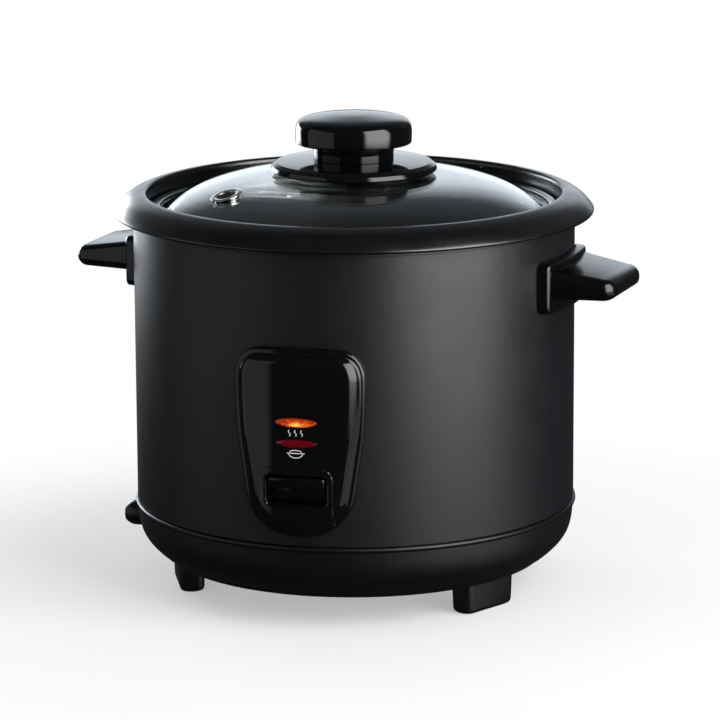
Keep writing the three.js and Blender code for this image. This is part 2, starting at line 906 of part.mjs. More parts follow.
add('top_ring', topRing(), RING_COAT);
add('outer_shell', outerShell(), SHELL_COAT);
add('inner_liner', innerLiner(), ALUMINIUM);
add('base_shell', baseShell(), SHELL_COAT);
add('bottom_cover', bottomCover(), ZINC);

for (const [place, turn] of Object.entries(FOOT_TURNS)) {
  const seat = FOOT_COUNTERBORE - GAP;
  add(`foot_${place}`, foot(turn), BLACK_PLASTIC);
  const footScrew = screw(1.7, 14, 3.4, 2.2).translate(...atTurn(FOOT_AT, turn), seat);
  add(`foot_screw_${place}`, footScrew, ZINC);
}
COVER_SCREW_TURNS.forEach((turn, i) => {
  const seat = COVER_Z - GAP;
  const coverScrew = screw(1.5, 8, 3.2, 1.8).translate(...atTurn(COVER_SCREW_AT, turn), seat);
  add(`cover_screw_${i + 1}`, coverScrew, ZINC);
});

for (const [side, turn] of [['right', HANDLE_TURN], ['left', HANDLE_TURN + 180]]) {
  add(`handle_${side}`, handle(turn), BLACK_PLASTIC);
  add(`handle_${side}_screw_1`, handleScrew(turn - HANDLE_SCREW_TURN), ZINC);
  add(`handle_${side}_screw_2`, handleScrew(turn + HANDLE_SCREW_TURN), ZINC);
}

add('control_panel', controlPanel(), BLACK_PLASTIC);
add('warm_lens', lens(WARM_Z), AMBER);
add('cook_lens', lens(COOK_Z), RED);
add('warm_lamp', lamp(WARM_Z), LAMP_GLASS);
add('cook_lamp', lamp(COOK_Z), LAMP_GLASS);

add('lever_key', leverKey(), BLACK_PLASTIC);
add('lever_arm', leverArm(), ZINC);
add('lever_pin', leverPin(), STEEL);
add('lever_bracket', leverBracket(), ZINC);
add('microswitch', microswitch(), DULL_PLASTIC);
add('switch_plunger', switchPlunger(), CERAMIC);

add('heating_plate', heatingPlate(), ALUMINIUM);
[-90, 30, 150].forEach((turn, i) => add(`plate_support_${i + 1}`, plateSupport(turn), ZINC));
add('heater_terminal_left', heaterTerminal(-1), STEEL);
add('heater_terminal_right', heaterTerminal(1), STEEL);

add('sensor_cap', sensorCap(), ALUMINIUM);
add('sensor_ferrite', sensorFerrite(), FERRITE);
add('sensor_spring', sensorSpring(), STEEL);
add('sensor_guide', sensorGuide(), ZINC);
add('magnet', magnet(), FERRITE);
add('magnet_rod', magnetRod(), STEEL);
add('magnet_spring', magnetSpring(), STEEL);

add('cord_gland', cordGland(), BLACK_PLASTIC);
add('gland_nut', glandNut(), DULL_PLASTIC);
add('terminal_block', terminalBlock(), CERAMIC);
add('thermal_fuse', thermalFuse(), CERAMIC);
add('keep_warm_thermostat', keepWarmThermostat(), CERAMIC);
add('wire_live', wire(LIVE_ROUTE), RED_WIRE);
add('wire_neutral', wire(NEUTRAL_ROUTE), BLUE_WIRE);
add('wire_heater', wire(HEATER_ROUTE), WHITE_WIRE);

export default cooker;
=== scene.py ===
"""The looks of a rice cooker with a glass lid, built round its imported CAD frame.

Lengths in the shape code are millimetres and are scaled to metres when a mesh is made.
"""

import json
from math import atan, ceil, cos, hypot, pi, radians, sin, sqrt, tan

import bmesh
import bpy
from mathutils import Matrix, Vector
from mathutils.geometry import delaunay_2d_cdt
from mathutils.kdtree import KDTree


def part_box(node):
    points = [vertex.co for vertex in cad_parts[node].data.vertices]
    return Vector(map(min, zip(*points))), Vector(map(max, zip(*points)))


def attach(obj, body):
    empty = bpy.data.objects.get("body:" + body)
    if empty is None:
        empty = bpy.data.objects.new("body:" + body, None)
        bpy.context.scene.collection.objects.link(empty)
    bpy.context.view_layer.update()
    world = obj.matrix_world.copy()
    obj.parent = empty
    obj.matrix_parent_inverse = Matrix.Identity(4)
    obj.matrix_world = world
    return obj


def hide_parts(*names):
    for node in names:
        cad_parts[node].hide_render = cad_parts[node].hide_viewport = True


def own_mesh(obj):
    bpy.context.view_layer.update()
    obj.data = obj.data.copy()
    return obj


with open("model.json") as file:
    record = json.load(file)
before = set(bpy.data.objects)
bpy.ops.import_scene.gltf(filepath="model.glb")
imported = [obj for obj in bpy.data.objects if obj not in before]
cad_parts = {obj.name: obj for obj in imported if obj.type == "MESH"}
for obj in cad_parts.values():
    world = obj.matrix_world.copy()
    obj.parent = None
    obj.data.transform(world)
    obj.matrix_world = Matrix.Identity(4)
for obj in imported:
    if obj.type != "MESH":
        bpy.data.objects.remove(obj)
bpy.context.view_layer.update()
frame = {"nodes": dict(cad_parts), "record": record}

# ---------- Sizes, in millimetres ----------

MM = 0.001


def low(node):
    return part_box(node)[0] / MM


def high(node):
    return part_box(node)[1] / MM


SHELL_R = high("outer_shell").x
SHELL_FOOT = low("outer_shell").z
SHELL_TOP = high("outer_shell").z
RING_R = high("top_ring").x
RING_TOP = high("top_ring").z
SHELF_Z = low("top_ring").z + 1.2
WELL_R = 103.2
BASE_Z = low("base_shell").z
BEAD_R = high("base_shell").x
PLATE_TOP = high("heating_plate").z
PLATE_R = high("heating_plate").x
POT_FOOT = low("inner_pot").z
POT_RIM = high("inner_pot").z
POT_RIM_R = high("inner_pot").x
POT_R = 96.0
POT_WALL = 1.4
GLASS_TOP = high("lid_glass").z
GLASS_R = high("lid_glass").x
BAND_R = high("lid_band").x
DISC_R = high("knob_disc").x
DISC_TOP = high("knob_disc").z
CAP_R = high("knob").x
CAP_TOP = high("knob").z
CAP_FOOT = 223.5
NECK_R = 20.0
SCREW_HOLE_R = 2.9
PANEL_R = 118.4
HANDLE_TURN = -7
HANDLE_TIP = 143.3
HANDLE_FOOT = low("handle_right").z
HANDLE_TOP = high("handle_right").z
HANDLE_PLATE_R = 115.7
WARM_Z = (low("warm_lens").z + high("warm_lens").z) / 2
COOK_Z = (low("cook_lens").z + high("cook_lens").z) / 2
LENS_HALF = (10.2, 2.05)
WINDOW_HALF = 15.1
WINDOW_LOW = 67.0
WINDOW_HIGH = 81.3
FOOT_AT = 85.0
FOOT_HALF = (6.5, 17.5)
FOOT_TURNS = {"front_left": -158, "front_right": -29, "rear": 86.5}
COVER_R = high("bottom_cover").x
COVER_Z = low("bottom_cover").z
COVER_SCREW_AT = 69.5
COVER_SCREW_TURNS = (-90, 30, 150)
COVER_HOLE_R = 1.8
FOOT_HOLE_R = 2.1
GLAND_Z = (low("cord_gland").z + high("cord_gland").z) / 2
GLAND_R = (high("cord_gland").z - low("cord_gland").z) / 2
GLAND_TIP = -low("cord_gland").x
DOME_R = 98.0
DOME_FALL = 19.2
DOME_POWER = 3.84
VENT_AT = 72.0
VENT_TURN = -136

FINE = 192  # segments round a large turned piece
MEDIUM = 96
SMALL = 32
SHARP = radians(40)

# ---------- Camera, floor and lights ----------

AIM = Vector((0.0025, 0.0006, 0.1127))
CAMERA_AZIMUTH = radians(13.85)
CAMERA_ELEVATION = radians(12.43)
CAMERA_DISTANCE = 2.0535
CAMERA_LENS = 204.3
CAMERA_ROLL = radians(-0.3)
LIGHT_CENTRE_Z = 0.15
WALL_AZIMUTH = -166
WALL_REACH = radians(26)
WALL_CORE = 0.45  # share of the reach at full brightness
WALL_RADIANCE = 1.3
HAZE_RADIANCE = 0.12
ROOM_RADIANCE = 0.055
DARK_RADIANCE = 0.03
MATT_RADIANCE = 0.45


class Graph:
    """A node tree with short ways to add and join its nodes."""

    def __init__(self, owner):
        owner.use_nodes = True
        self.nodes = owner.node_tree.nodes
        self.links = owner.node_tree.links

    def put(self, value, socket):
        """Sets a socket to a constant, or links it to another node's output."""
        if isinstance(value, bpy.types.NodeSocket):
            self.links.new(value, socket)
        else:
            socket.default_value = value

    def new(self, kind, *first, **named):
        """A node with values for its first sockets in order, and for the sockets that are named."""
        node = self.nodes.new("ShaderNode" + kind)
        for value, socket in zip(first, node.inputs):
            self.put(value, socket)
        for name, value in named.items():
            self.put(value, node.inputs[name.replace("_", " ")])
        return node

    def calc(self, kind, a, b=0.0):
        node = self.new("Math", a, b)
        node.operation = kind
        return node.outputs[0]

    def ramp(self, value, start, end, first=0.0, last=1.0, shape="SMOOTHSTEP"):
        node = self.new("MapRange", value, start, end, first, last)
        node.interpolation_type = shape
        return node.outputs[0]

    def length(self, vector):
        node = self.new("VectorMath", vector)
        node.operation = "LENGTH"
        return node.outputs["Value"]


def linked(name, data):
    """A new object in the scene."""
    made = bpy.data.objects.new(name, data)
    bpy.context.scene.collection.objects.link(made)
    return made


def direction(azimuth, elevation):
    """From the object outwards. Azimuth 0 is the front, -Y, and 90 degrees is +X."""
    flat = cos(elevation)
    return Vector((sin(azimuth) * flat, -cos(azimuth) * flat, sin(elevation)))


def add_camera():
    data = bpy.data.cameras.new("camera")
    camera = linked("camera", data)
    back = direction(CAMERA_AZIMUTH, CAMERA_ELEVATION)
    camera.location = AIM + back * CAMERA_DISTANCE
    turn = (-back).to_track_quat("-Z", "Y").to_matrix().to_4x4()
    roll = Matrix.Rotation(CAMERA_ROLL, 4, "Z")
    camera.matrix_world = Matrix.Translation(camera.location) @ turn @ roll
    data.sensor_width = 36
    data.lens = CAMERA_LENS
    data.clip_start = 0.05
    data.clip_end = 50
    bpy.context.scene.camera = camera


def add_softbox(name, azimuths, elevations, distance, radiance, colour, fade):
    """An upright panel that faces the object and covers a span of azimuths and of elevations."""
    middle = radians(sum(azimuths) / 2)
    half = radians(azimuths[1] - azimuths[0]) / 2
    heights = [LIGHT_CENTRE_Z + distance * tan(radians(e)) for e in elevations]
    width, height = 2 * distance * tan(half), heights[1] - heights[0]
    data = bpy.data.lights.new(name, "AREA")
    data.shape = "RECTANGLE"
    data.size, data.size_y = width, height
    data.energy = radiance * pi * width * height
    data.color = colour
    light = linked(name, data)
    out = direction(middle, 0)
    light.location = out * distance + Vector((0, 0, sum(heights) / 2))
    light.rotation_euler = out.to_track_quat("Z", "Y").to_euler()
    light.visible_camera = False
    soften(data, fade)


def soften(data, fade):
    """Fades a panel towards its four edges."""
    graph = Graph(data)
    place = graph.new("SeparateXYZ", graph.new("NewGeometry").outputs["Parametric"]).outputs
    across, up = [graph.ramp(graph.calc("PINGPONG", place[axis], 0.5), 0.0, fade) for axis in "XY"]
    graph.put(graph.calc("MULTIPLY", across, up), graph.nodes["Emission"].inputs["Strength"])


def add_floor():
    """A pale disc that fades out before its edge."""
    radius = 900
    solid_to, gone_by = 0.16, 0.34
    cover = 0.6
    rings = [ring_at(share * radius, 0, MEDIUM) for share in (1, 0.75, 0.5, 0.25, 0)]
    mesh = loft_mesh(rings, ends=False)
    floor = linked("floor", mesh)
    floor.visible_glossy = False
    floor.visible_shadow = False
    paint = Paint("floor", (0.94, 0.94, 0.94), 0.9, Specular_IOR_Level=0.1)
    fade = paint.ramp(paint.length(paint.place), solid_to, gone_by, cover, 0.0)
    paint.put(fade, paint.shader.inputs["Alpha"])
    mesh.materials.append(paint.made)


def add_world():
    """White to the camera, pale to matt surfaces, and to glossy ones a dim room with a lit back wall."""
    world = bpy.data.worlds.new("studio")
    graph = Graph(world)
    graph.nodes.clear()
    calc, ramp = graph.calc, graph.ramp

    def background(colour, strength):
        return graph.new("Background", (*colour, 1), strength).outputs[0]

    view = graph.new("SeparateXYZ", graph.new("TexCoord").outputs["Generated"]).outputs
    towards = direction(radians(WALL_AZIMUTH), 0)
    along = calc("MULTIPLY", view["X"], towards.x)
    facing = calc("ADD", along, calc("MULTIPLY", view["Y"], towards.y))
    level = calc("SQRT", calc("SUBTRACT", 1.0, calc("POWER", view["Z"], 2.0)))
    edge, full = cos(WALL_REACH), cos(WALL_REACH * WALL_CORE)
    near_wall = ramp(calc("DIVIDE", facing, level), edge, full)
    above = ramp(view["Z"], -0.07, 0.03)
    bright = ramp(view["Z"], 0.2, 0.52, WALL_RADIANCE, 0.0)
    wall = calc("MULTIPLY", calc("MULTIPLY", near_wall, above), bright)
    spread = ramp(facing, 0.2, 0.95, 0.0, HAZE_RADIANCE)
    haze = calc("MULTIPLY", spread, ramp(view["Z"], 0.1, 0.4))
    room = ramp(view["Z"], -0.6, 0.5, DARK_RADIANCE, ROOM_RADIANCE)
    glossy = background((0.84, 0.92, 1), calc("ADD", calc("ADD", wall, haze), room))
    path = graph.new("LightPath").outputs
    matt = background((1, 1, 1), MATT_RADIANCE)
    lit = graph.new("MixShader", path["Is Diffuse Ray"], glossy, matt).outputs[0]
    seen = graph.new("MixShader", path["Is Camera Ray"], lit, background((1, 1, 1), 1.0))
    graph.new("OutputWorld", seen.outputs[0])
    bpy.context.scene.world = world


def add_studio():
    add_camera()
    add_world()
    add_floor()
    warm, cool = (1, 0.975, 0.95), (0.88, 0.94, 1)
    add_softbox("right_softbox", (32, 93), (-20, 50), 1.0, 6.0, warm, 0.2)
    add_softbox("right_bounce", (50, 110), (-36, -16), 1.0, 0.6, cool, 0.12)
    add_softbox("left_softbox", (-88, -24), (-22, 33), 1.0, 0.4, warm, 0.06)
    add_softbox("left_back_light", (-148, -110), (-9, 17), 0.7, 8.0, cool, 0.22)
    bpy.context.scene.view_settings.view_transform = "Standard"


# ---------- Meshes ----------


def out_at(turn):
    """One unit out from the Z axis."""
    return Vector((cos(turn), sin(turn), 0))


def quarter(steps, first=1):
    """The angles of a quarter turn in equal steps."""
    return [radians(90 * k / steps) for k in range(first, steps + 1)]


def ring_at(radius, z, segments):
    """Points of a circle about Z."""
    step = 2 * pi / segments
    turns = [i * step for i in range(segments)]
    return [Vector((radius * cos(t), radius * sin(t), z)) for t in turns]


def shaded(mesh):
    """The mesh with smooth shading between its hard edges."""
    mesh.shade_smooth()
    mesh.set_sharp_from_angle(angle=SHARP)
    return mesh


def finish_mesh(mesh):
    """Scales to metres, closes seams, points the faces out and shades them."""
    mesh.transform(Matrix.Scale(MM, 4))
    work = bmesh.new()
    work.from_mesh(mesh)
    bmesh.ops.remove_doubles(work, verts=work.verts, dist=2e-7)
    bmesh.ops.dissolve_degenerate(work, edges=work.edges, dist=1e-8)
    bmesh.ops.recalc_face_normals(work, faces=work.faces)
    work.to_mesh(mesh)
    work.free()
    return shaded(mesh)


def mesh_of(verts, faces):
    mesh = bpy.data.meshes.new("shape")
    mesh.from_pydata(verts, [], faces)
    return mesh


def loft_mesh(rings, closed=False, ends=True, finished=True):
    """Joins rings of equal count with quads. Open lofts are capped at both ends, closed ones join up."""
    count = len(rings[0])
    last = len(rings) - 1
    pairs = [(i, i + 1) for i in range(last)]
    if closed:
        pairs.append((last, 0))
    faces = []
    for a, b in pairs:
        for i in range(count):
            j = (i + 1) % count
            faces.append((a * count + i, a * count + j, b * count + j, b * count + i))
    if ends and not closed:
        faces.append(tuple(range(count))[::-1])
        faces.append(tuple(range(last * count, (last + 1) * count)))
    mesh = mesh_of([point for ring in rings for point in ring], faces)
    return finish_mesh(mesh) if finished else mesh


def rounded(points, closed=False):
    """A polyline of (a, b) or (a, b, fillet) with each fillet drawn as an arc."""
    made = []
    count = len(points)
    for i, point in enumerate(points):
        here = Vector(point[:2])
        fillet = point[2] if len(point) > 2 else 0
        if fillet <= 0 or (not closed and i in (0, count - 1)):
            made.append(tuple(here))
            continue
        to_last = Vector(points[i - 1][:2]) - here
        to_next = Vector(points[(i + 1) % count][:2]) - here
        half = to_last.angle(to_next) / 2
        reach = min(fillet / tan(half), 0.49 * to_last.length, 0.49 * to_next.length)
        radius = reach * tan(half)
        inward = (to_last.normalized() + to_next.normalized()).normalized()
        centre = here + inward * (radius / sin(half))
        start = here + to_last.normalized() * reach - centre
        turn = start.angle_signed(here + to_next.normalized() * reach - centre)
        steps = max(2, ceil(abs(turn) / radians(12)))
        for k in range(steps + 1):
            spun = start.copy()
            spun.rotate(Matrix.Rotation(-turn * k / steps, 2))
            made.append(tuple(centre + spun))
    return made


def spline(points, per=5):
    """A Catmull-Rom curve through the points."""
    ends = [points[0], *points, points[-1]]
    made = []
    for corners in zip(ends, ends[1:], ends[2:], ends[3:]):
        for k in range(per):
            t = k / per
            made.append(tuple(
                0.5 * (2 * b + (c - a) * t + (2 * a - 5 * b + 4 * c - d) * t**2
                       + (3 * b - a - 3 * c + d) * t**3)
                for a, b, c, d in zip(*corners)
            ))
    return [*made, tuple(points[-1])]


def turned(profile, segments=FINE):
    """A profile of (radius, z) turned about Z. It closes on itself unless both ends lie on the axis."""
    on_axis = profile[0][0] == 0 and profile[-1][0] == 0
    rings = [ring_at(radius, z, segments) for radius, z in profile]
    return loft_mesh(rings, closed=not on_axis, ends=False)


def rounded_rectangle(half_x, half_y, radius, steps=6):
    """Points round a rectangle with round corners, the same number whatever its size."""
    radius = min(radius, half_x - 1e-3, half_y - 1e-3)
    points = []
    for corner, (sx, sy) in enumerate(((1, 1), (-1, 1), (-1, -1), (1, -1))):
        for k in range(steps + 1):
            angle = radians(90) * (corner + k / steps)
            x = sx * (half_x - radius) + radius * cos(angle)
            y = sy * (half_y - radius) + radius * sin(angle)
            points.append((x, y))
    return points


def sides_of(loop):
    """Each point of a closed loop with the next one."""
    return zip(loop, loop[1:] + loop[:1])


def flat_mesh(outline, holes, spacing, lift, extra=()):
    """A closed plate over an outline with holes. lift(x, y) gives the two surfaces' points."""
    coords = []
    edges = []
    for loop in (outline, *holes):
        start = len(coords)
        coords += [Vector(point) for point in loop]
        edges += [(start + i, start + (i + 1) % len(loop)) for i in range(len(loop))]
    coords += [Vector(point) for point in extra]
    near = KDTree(len(coords))
    for i, point in enumerate(coords):
        near.insert((*point, 0), i)
    near.balance()

    def on_plate(point):
        return inside(point, outline) and not any(inside(point, hole) for hole in holes)

    xs, ys = zip(*outline)
    row = 0
    y = min(ys) + spacing / 2
    while y < max(ys):
        x = min(xs) + spacing * (0.5 + 0.5 * (row % 2))
        while x < max(xs):
            if on_plate((x, y)) and near.find((x, y, 0))[2] >= 0.55 * spacing:
                coords.append(Vector((x, y)))
            x += spacing
        y += spacing * 0.87
        row += 1
    verts, _, faces, _, _, _ = delaunay_2d_cdt(coords, edges, [], 0, 1e-6)
    kept = [
        tuple(face) for face in faces
        if on_plate(sum((verts[i] for i in face), Vector((0, 0))) / len(face))
    ]
    return plate_between(verts, kept, lift)


def plate_between(verts, faces, lift):
    """A closed mesh from a flat net: its two lifted copies and a wall along every open edge."""
    count = len(verts)
    tops, backs = zip(*[lift(point[0], point[1]) for point in verts])
    sides = dict.fromkeys(side for face in faces for side in sides_of(face))
    walls = [(a, b, b + count, a + count) for a, b in sides if (b, a) not in sides]
    under = [tuple(i + count for i in reversed(face)) for face in faces]
    return finish_mesh(mesh_of([*tops, *backs], [*faces, *under, *walls]))


def inside(point, loop):
    """Whether a point lies in a closed loop, by how often a line from it crosses the loop."""
    x, y = point[0], point[1]
    odd = False
    for (x1, y1), (x2, y2) in sides_of(loop):
        if (y1 > y) != (y2 > y) and x < (x2 - x1) * (y - y1) / (y2 - y1) + x1:
            odd = not odd
    return odd


def distance_to(loop):
    """A function that gives a point's distance to a closed loop."""
    sides = [(Vector(a), Vector(b) - Vector(a)) for a, b in sides_of(loop)]

    def measure(x, y):
        here = Vector((x, y))
        best = 1e9
        for start, along in sides:
            share = max(0, min(1, (here - start).dot(along) / along.length_squared))
            best = min(best, (here - start - along * share).length)
        return best

    return measure


def joined(meshes):
    """Several closed meshes as one."""
    work = bmesh.new()
    for mesh in meshes:
        work.from_mesh(mesh)
        bpy.data.meshes.remove(mesh)
    made = bpy.data.meshes.new("shape")
    work.to_mesh(made)
    work.free()
    return shaded(made)


def combine(mesh, other, operation):
    """An exact boolean of two closed meshes."""
    target, tool = linked("target", mesh), linked("tool", other)
    modifier = target.modifiers.new("cut", "BOOLEAN")
    modifier.operation = operation
    modifier.solver = "EXACT"
    modifier.object = tool
    shown = target.evaluated_get(bpy.context.evaluated_depsgraph_get())
    made = bpy.data.meshes.new_from_object(shown)
    bpy.data.objects.remove(target)
    bpy.data.objects.remove(tool)
    return shaded(made)


def cut(mesh, *cutters):
    """The mesh less its cutters, one after another."""
    for cutter in cutters:
        mesh = combine(mesh, cutter, "DIFFERENCE")
    return mesh


def box_mesh(corner, opposite):
    """A plain box, used only to cut."""
    (x0, y0, z0), (x1, y1, z1) = corner, opposite
    square = ((x0, y0), (x1, y0), (x1, y1), (x0, y1))
    return loft_mesh([[Vector((x, y, z)) for x, y in square] for z in (z0, z1)])


def drill(radius, start, end, segments=SMALL):
    """A plain rod along Z, used only to cut a hole."""
    return turned([(0, start), (radius, start), (radius, end), (0, end)], segments)


def turn_z(degrees):
    return Matrix.Rotation(radians(degrees), 4, "Z")


def shift(x, y, z):
    return Matrix.Translation(Vector((x, y, z)) * MM)


def moved(mesh, *matrices):
    """The mesh carried by each matrix in turn."""
    for matrix in matrices:
        mesh.transform(matrix)
    return mesh


ALONG_X = Matrix.Rotation(radians(90), 4, "Y")
TOWARDS_LEFT = Matrix.Rotation(radians(-90), 4, "Y")


# ---------- Materials ----------


class Paint(Graph):
    """A Principled material with helpers that add procedural detail in the shared frame."""

    def __init__(self, name, colour, roughness, metallic=0, **constants):
        self.name = name
        self.made = bpy.data.materials.new(name)
        super().__init__(self.made)
        self.shader = self.nodes["Principled BSDF"]
        self.colour = (*colour, 1)
        self.roughness = roughness
        constants.update(Base_Color=self.colour, Roughness=roughness, Metallic=metallic)
        for key, value in constants.items():
            self.shader.inputs[key.replace("_", " ")].default_value = value
        self.place = self.new("TexCoord").outputs["Object"]
        self.bumped = None

    def noise(self, scale, detail, stretch=(1, 1, 1)):
        place = self.new("Mapping", self.place, Scale=stretch).outputs[0]
        return self.new("TexNoise", place, Scale=scale, Detail=detail).outputs["Fac"]

    def ranged(self, value, low_in, high_in, low_out, high_out):
        return self.ramp(value, low_in, high_in, low_out, high_out, "LINEAR")

    def vary_roughness(self, scale, amount):
        low_end, high_end = self.roughness - amount, self.roughness + amount
        spread = self.ranged(self.noise(scale, 4), 0.3, 0.7, low_end, high_end)
        self.put(spread, self.shader.inputs["Roughness"])
        return self

    def vary_colour(self, scale, other):
        mix = self.new("Mix")
        mix.data_type = "RGBA"
        mix.inputs["A"].default_value = self.colour
        mix.inputs["B"].default_value = (*other, 1)
        self.put(self.ranged(self.noise(scale, 4), 0.35, 0.65, 0, 1), mix.inputs["Factor"])
        self.put(mix.outputs["Result"], self.shader.inputs["Base Color"])
        return self

    def bump(self, height, strength, distance_mm):
        node = self.new("Bump", Strength=strength, Distance=distance_mm * MM, Height=height)
        if self.bumped:
            self.put(self.bumped, node.inputs["Normal"])
        self.bumped = node.outputs["Normal"]
        self.put(self.bumped, self.shader.inputs["Normal"])
        return self

    def grain(self, scale, strength, distance_mm, stretch=(1, 1, 1)):
        return self.bump(self.noise(scale, 2, stretch), strength, distance_mm)

    def turning_marks(self, pitch_mm, strength, distance_mm):
        """Fine circles about Z, as a lathe leaves on a flat face."""
        split = self.new("SeparateXYZ", self.place).outputs
        radius = self.length(self.new("CombineXYZ", split["X"], split["Y"]).outputs[0])
        place = self.new("CombineXYZ", radius, split["Z"]).outputs[0]
        node = self.new("TexNoise", place, Scale=1 / (pitch_mm * MM), Detail=3)
        return self.bump(node.outputs["Fac"], strength, distance_mm)


def make_materials():
    """Every material, by the name of its slot."""
    paints = [
        Paint("shell_paint", (0.0028, 0.0034, 0.0048), 0.43)
        .grain(900, 0.35, 0.05).grain(260, 0.25, 0.12).vary_roughness(60, 0.03)
        .vary_colour(35, (0.0034, 0.0041, 0.0056)),
        Paint("ring_paint", (0.0016, 0.0017, 0.0017), 0.25, Specular_IOR_Level=0.9)
        .grain(1100, 0.25, 0.04).grain(300, 0.18, 0.08).vary_roughness(70, 0.03),
        Paint("base_paint", (0.0014, 0.0017, 0.0023), 0.4)
        .grain(900, 0.3, 0.05).grain(260, 0.2, 0.1).vary_roughness(60, 0.03),
        Paint("black_gloss", (0.002, 0.002, 0.0021), 0.07)
        .grain(120, 0.06, 0.06).vary_roughness(45, 0.02),
        Paint("handle_gloss", (0.0014, 0.0014, 0.0015), 0.17)
        .grain(160, 0.1, 0.06).vary_roughness(50, 0.035),
        Paint("black_satin", (0.0025, 0.0025, 0.0024), 0.3)
        .grain(700, 0.3, 0.05).vary_roughness(80, 0.05),
        Paint("lid_glass", (0.93, 0.965, 0.97), 0.012, Transmission_Weight=1.0, IOR=1.5)
        .vary_roughness(40, 0.01).grain(14, 0.04, 0.2),
        Paint("polished_steel", (0.76, 0.76, 0.75), 0.2, 1)
        .turning_marks(0.12, 0.12, 0.02).vary_roughness(90, 0.05)
        .vary_colour(60, (0.68, 0.68, 0.68)),
        Paint("cover_steel", (0.42, 0.43, 0.44), 0.34, 1)
        .vary_roughness(140, 0.09).grain(220, 0.12, 0.05).vary_colour(120, (0.33, 0.34, 0.35)),
        Paint("liner_aluminium", (0.58, 0.59, 0.6), 0.3, 1)
        .turning_marks(0.5, 0.2, 0.03).vary_roughness(90, 0.025)
        .vary_colour(40, (0.5, 0.5, 0.5)),
        Paint("cast_aluminium", (0.52, 0.53, 0.54), 0.3, 1)
        .turning_marks(0.35, 0.5, 0.05).vary_roughness(120, 0.06)
        .vary_colour(50, (0.43, 0.42, 0.4)),
        Paint("non_stick", (0.02, 0.021, 0.023), 0.32)
        .grain(700, 0.3, 0.05).vary_roughness(150, 0.015)
        .vary_colour(2200, (0.034, 0.036, 0.039)),
        # The amber lens carries painted lamplight in its emission colour.
        amber_lens(),
        Paint("red_lens", (0.07, 0.0006, 0.003), 0.06, Coat_Weight=0.2)
        .vary_colour(160, (0.11, 0.0008, 0.006)).grain(90, 0.1, 0.1),
        Paint("lamp_glass", (0.95, 0.8, 0.66), 0.05, Transmission_Weight=0.7)
        .vary_roughness(200, 0.03),
        Paint("silicone", (0.6, 0.6, 0.57), 0.5, Subsurface_Weight=0.2)
        .vary_roughness(120, 0.08).grain(300, 0.15, 0.05),
        Paint("plated_screw", (0.5, 0.5, 0.5), 0.26, 1)
        .vary_roughness(300, 0.08).vary_colour(200, (0.42, 0.43, 0.44)).grain(500, 0.15, 0.03),
        Paint("spring_steel", (0.4, 0.4, 0.41), 0.24, 1)
        .vary_roughness(400, 0.08).grain(600, 0.15, 0.03),
        Paint("plated_steel", (0.48, 0.48, 0.47), 0.3, 1)
        .vary_colour(140, (0.4, 0.41, 0.38)).vary_roughness(140, 0.09).grain(350, 0.15, 0.04),
        Paint("ferrite", (0.035, 0.035, 0.038), 0.6)
        .grain(500, 0.4, 0.08).vary_colour(300, (0.06, 0.06, 0.06)),
        Paint("phenolic", (0.014, 0.012, 0.011), 0.42)
        .grain(300, 0.2, 0.05).vary_roughness(150, 0.07),
        Paint("steatite", (0.68, 0.64, 0.55), 0.55)
        .grain(420, 0.35, 0.08).vary_colour(180, (0.6, 0.55, 0.46)),
        Paint("white_print", (0.55, 0.58, 0.62), 0.45).vary_colour(900, (0.42, 0.45, 0.5)),
    ]
    for name, colour, other in (
        ("red_insulation", (0.36, 0.015, 0.015), (0.28, 0.01, 0.01)),
        ("blue_insulation", (0.015, 0.05, 0.32), (0.012, 0.04, 0.25)),
        ("white_insulation", (0.62, 0.6, 0.54), (0.5, 0.48, 0.42)),
    ):
        sleeve = Paint(name, colour, 0.5).vary_colour(500, other)
        paints.append(sleeve.grain(900, 0.4, 0.08, (1, 1, 0.4)))
    return {paint.name: paint.made for paint in paints}


def amber_lens():
    """A lens that glows with painted lamplight: its emission is hottest over its lamp and redder towards
    its ends and rim, standing in for the lamp behind it shining through.
    """
    paint = Paint("amber_lens", (0.12, 0.015, 0.002), 0.12, Emission_Strength=1.0)
    split = paint.new("SeparateXYZ", paint.place).outputs
    half_x, half_z = LENS_HALF[0] * MM, LENS_HALF[1] * MM
    middle_z = WARM_Z * MM
    across = paint.ranged(split["X"], -half_x, half_x, -1.3, 1.1)
    up = paint.ranged(split["Z"], middle_z - half_z, middle_z + half_z, -0.3, 1.15)
    from_painted_hotspot = paint.length(paint.new("CombineXYZ", across, up).outputs[0])
    uneven = paint.ranged(paint.noise(420, 3, (1, 1, 2)), 0.3, 0.7, -0.3, 0.3)
    # Painted lamplight: the emission colour ramps from a hot yellow core over the lamp to dark red at the
    # lens's ends and rim.
    painted_glow = paint.new("ValToRGB", paint.calc("ADD", from_painted_hotspot, uneven))
    painted_glow_stops = [
        (0.0, (1.0, 0.72, 0.2, 1)), (0.24, (1.0, 0.34, 0.03, 1)),
        (0.55, (0.7, 0.1, 0.006, 1)), (1.0, (0.2, 0.01, 0.001, 1)),
    ]
    elements = painted_glow.color_ramp.elements
    while len(elements) < len(painted_glow_stops):
        elements.new(0.5)
    for element, (place, colour) in zip(elements, painted_glow_stops):
        element.position = place
        element.color = colour
    paint.put(painted_glow.outputs["Color"], paint.shader.inputs["Emission Color"])
    return paint


MATERIALS = {}


def piece(name, mesh, body, slot, node=None, material=None):
    """A shown piece on a body, in the record's slot, standing for the CAD node that it replaces."""
    mesh.name = name
    made = linked(name, mesh)
    mesh.materials.clear()
    mesh.materials.append(MATERIALS[material or slot])
    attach(made, body)
    if node:
        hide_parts(node)
    return made


# ---------- Casing ----------


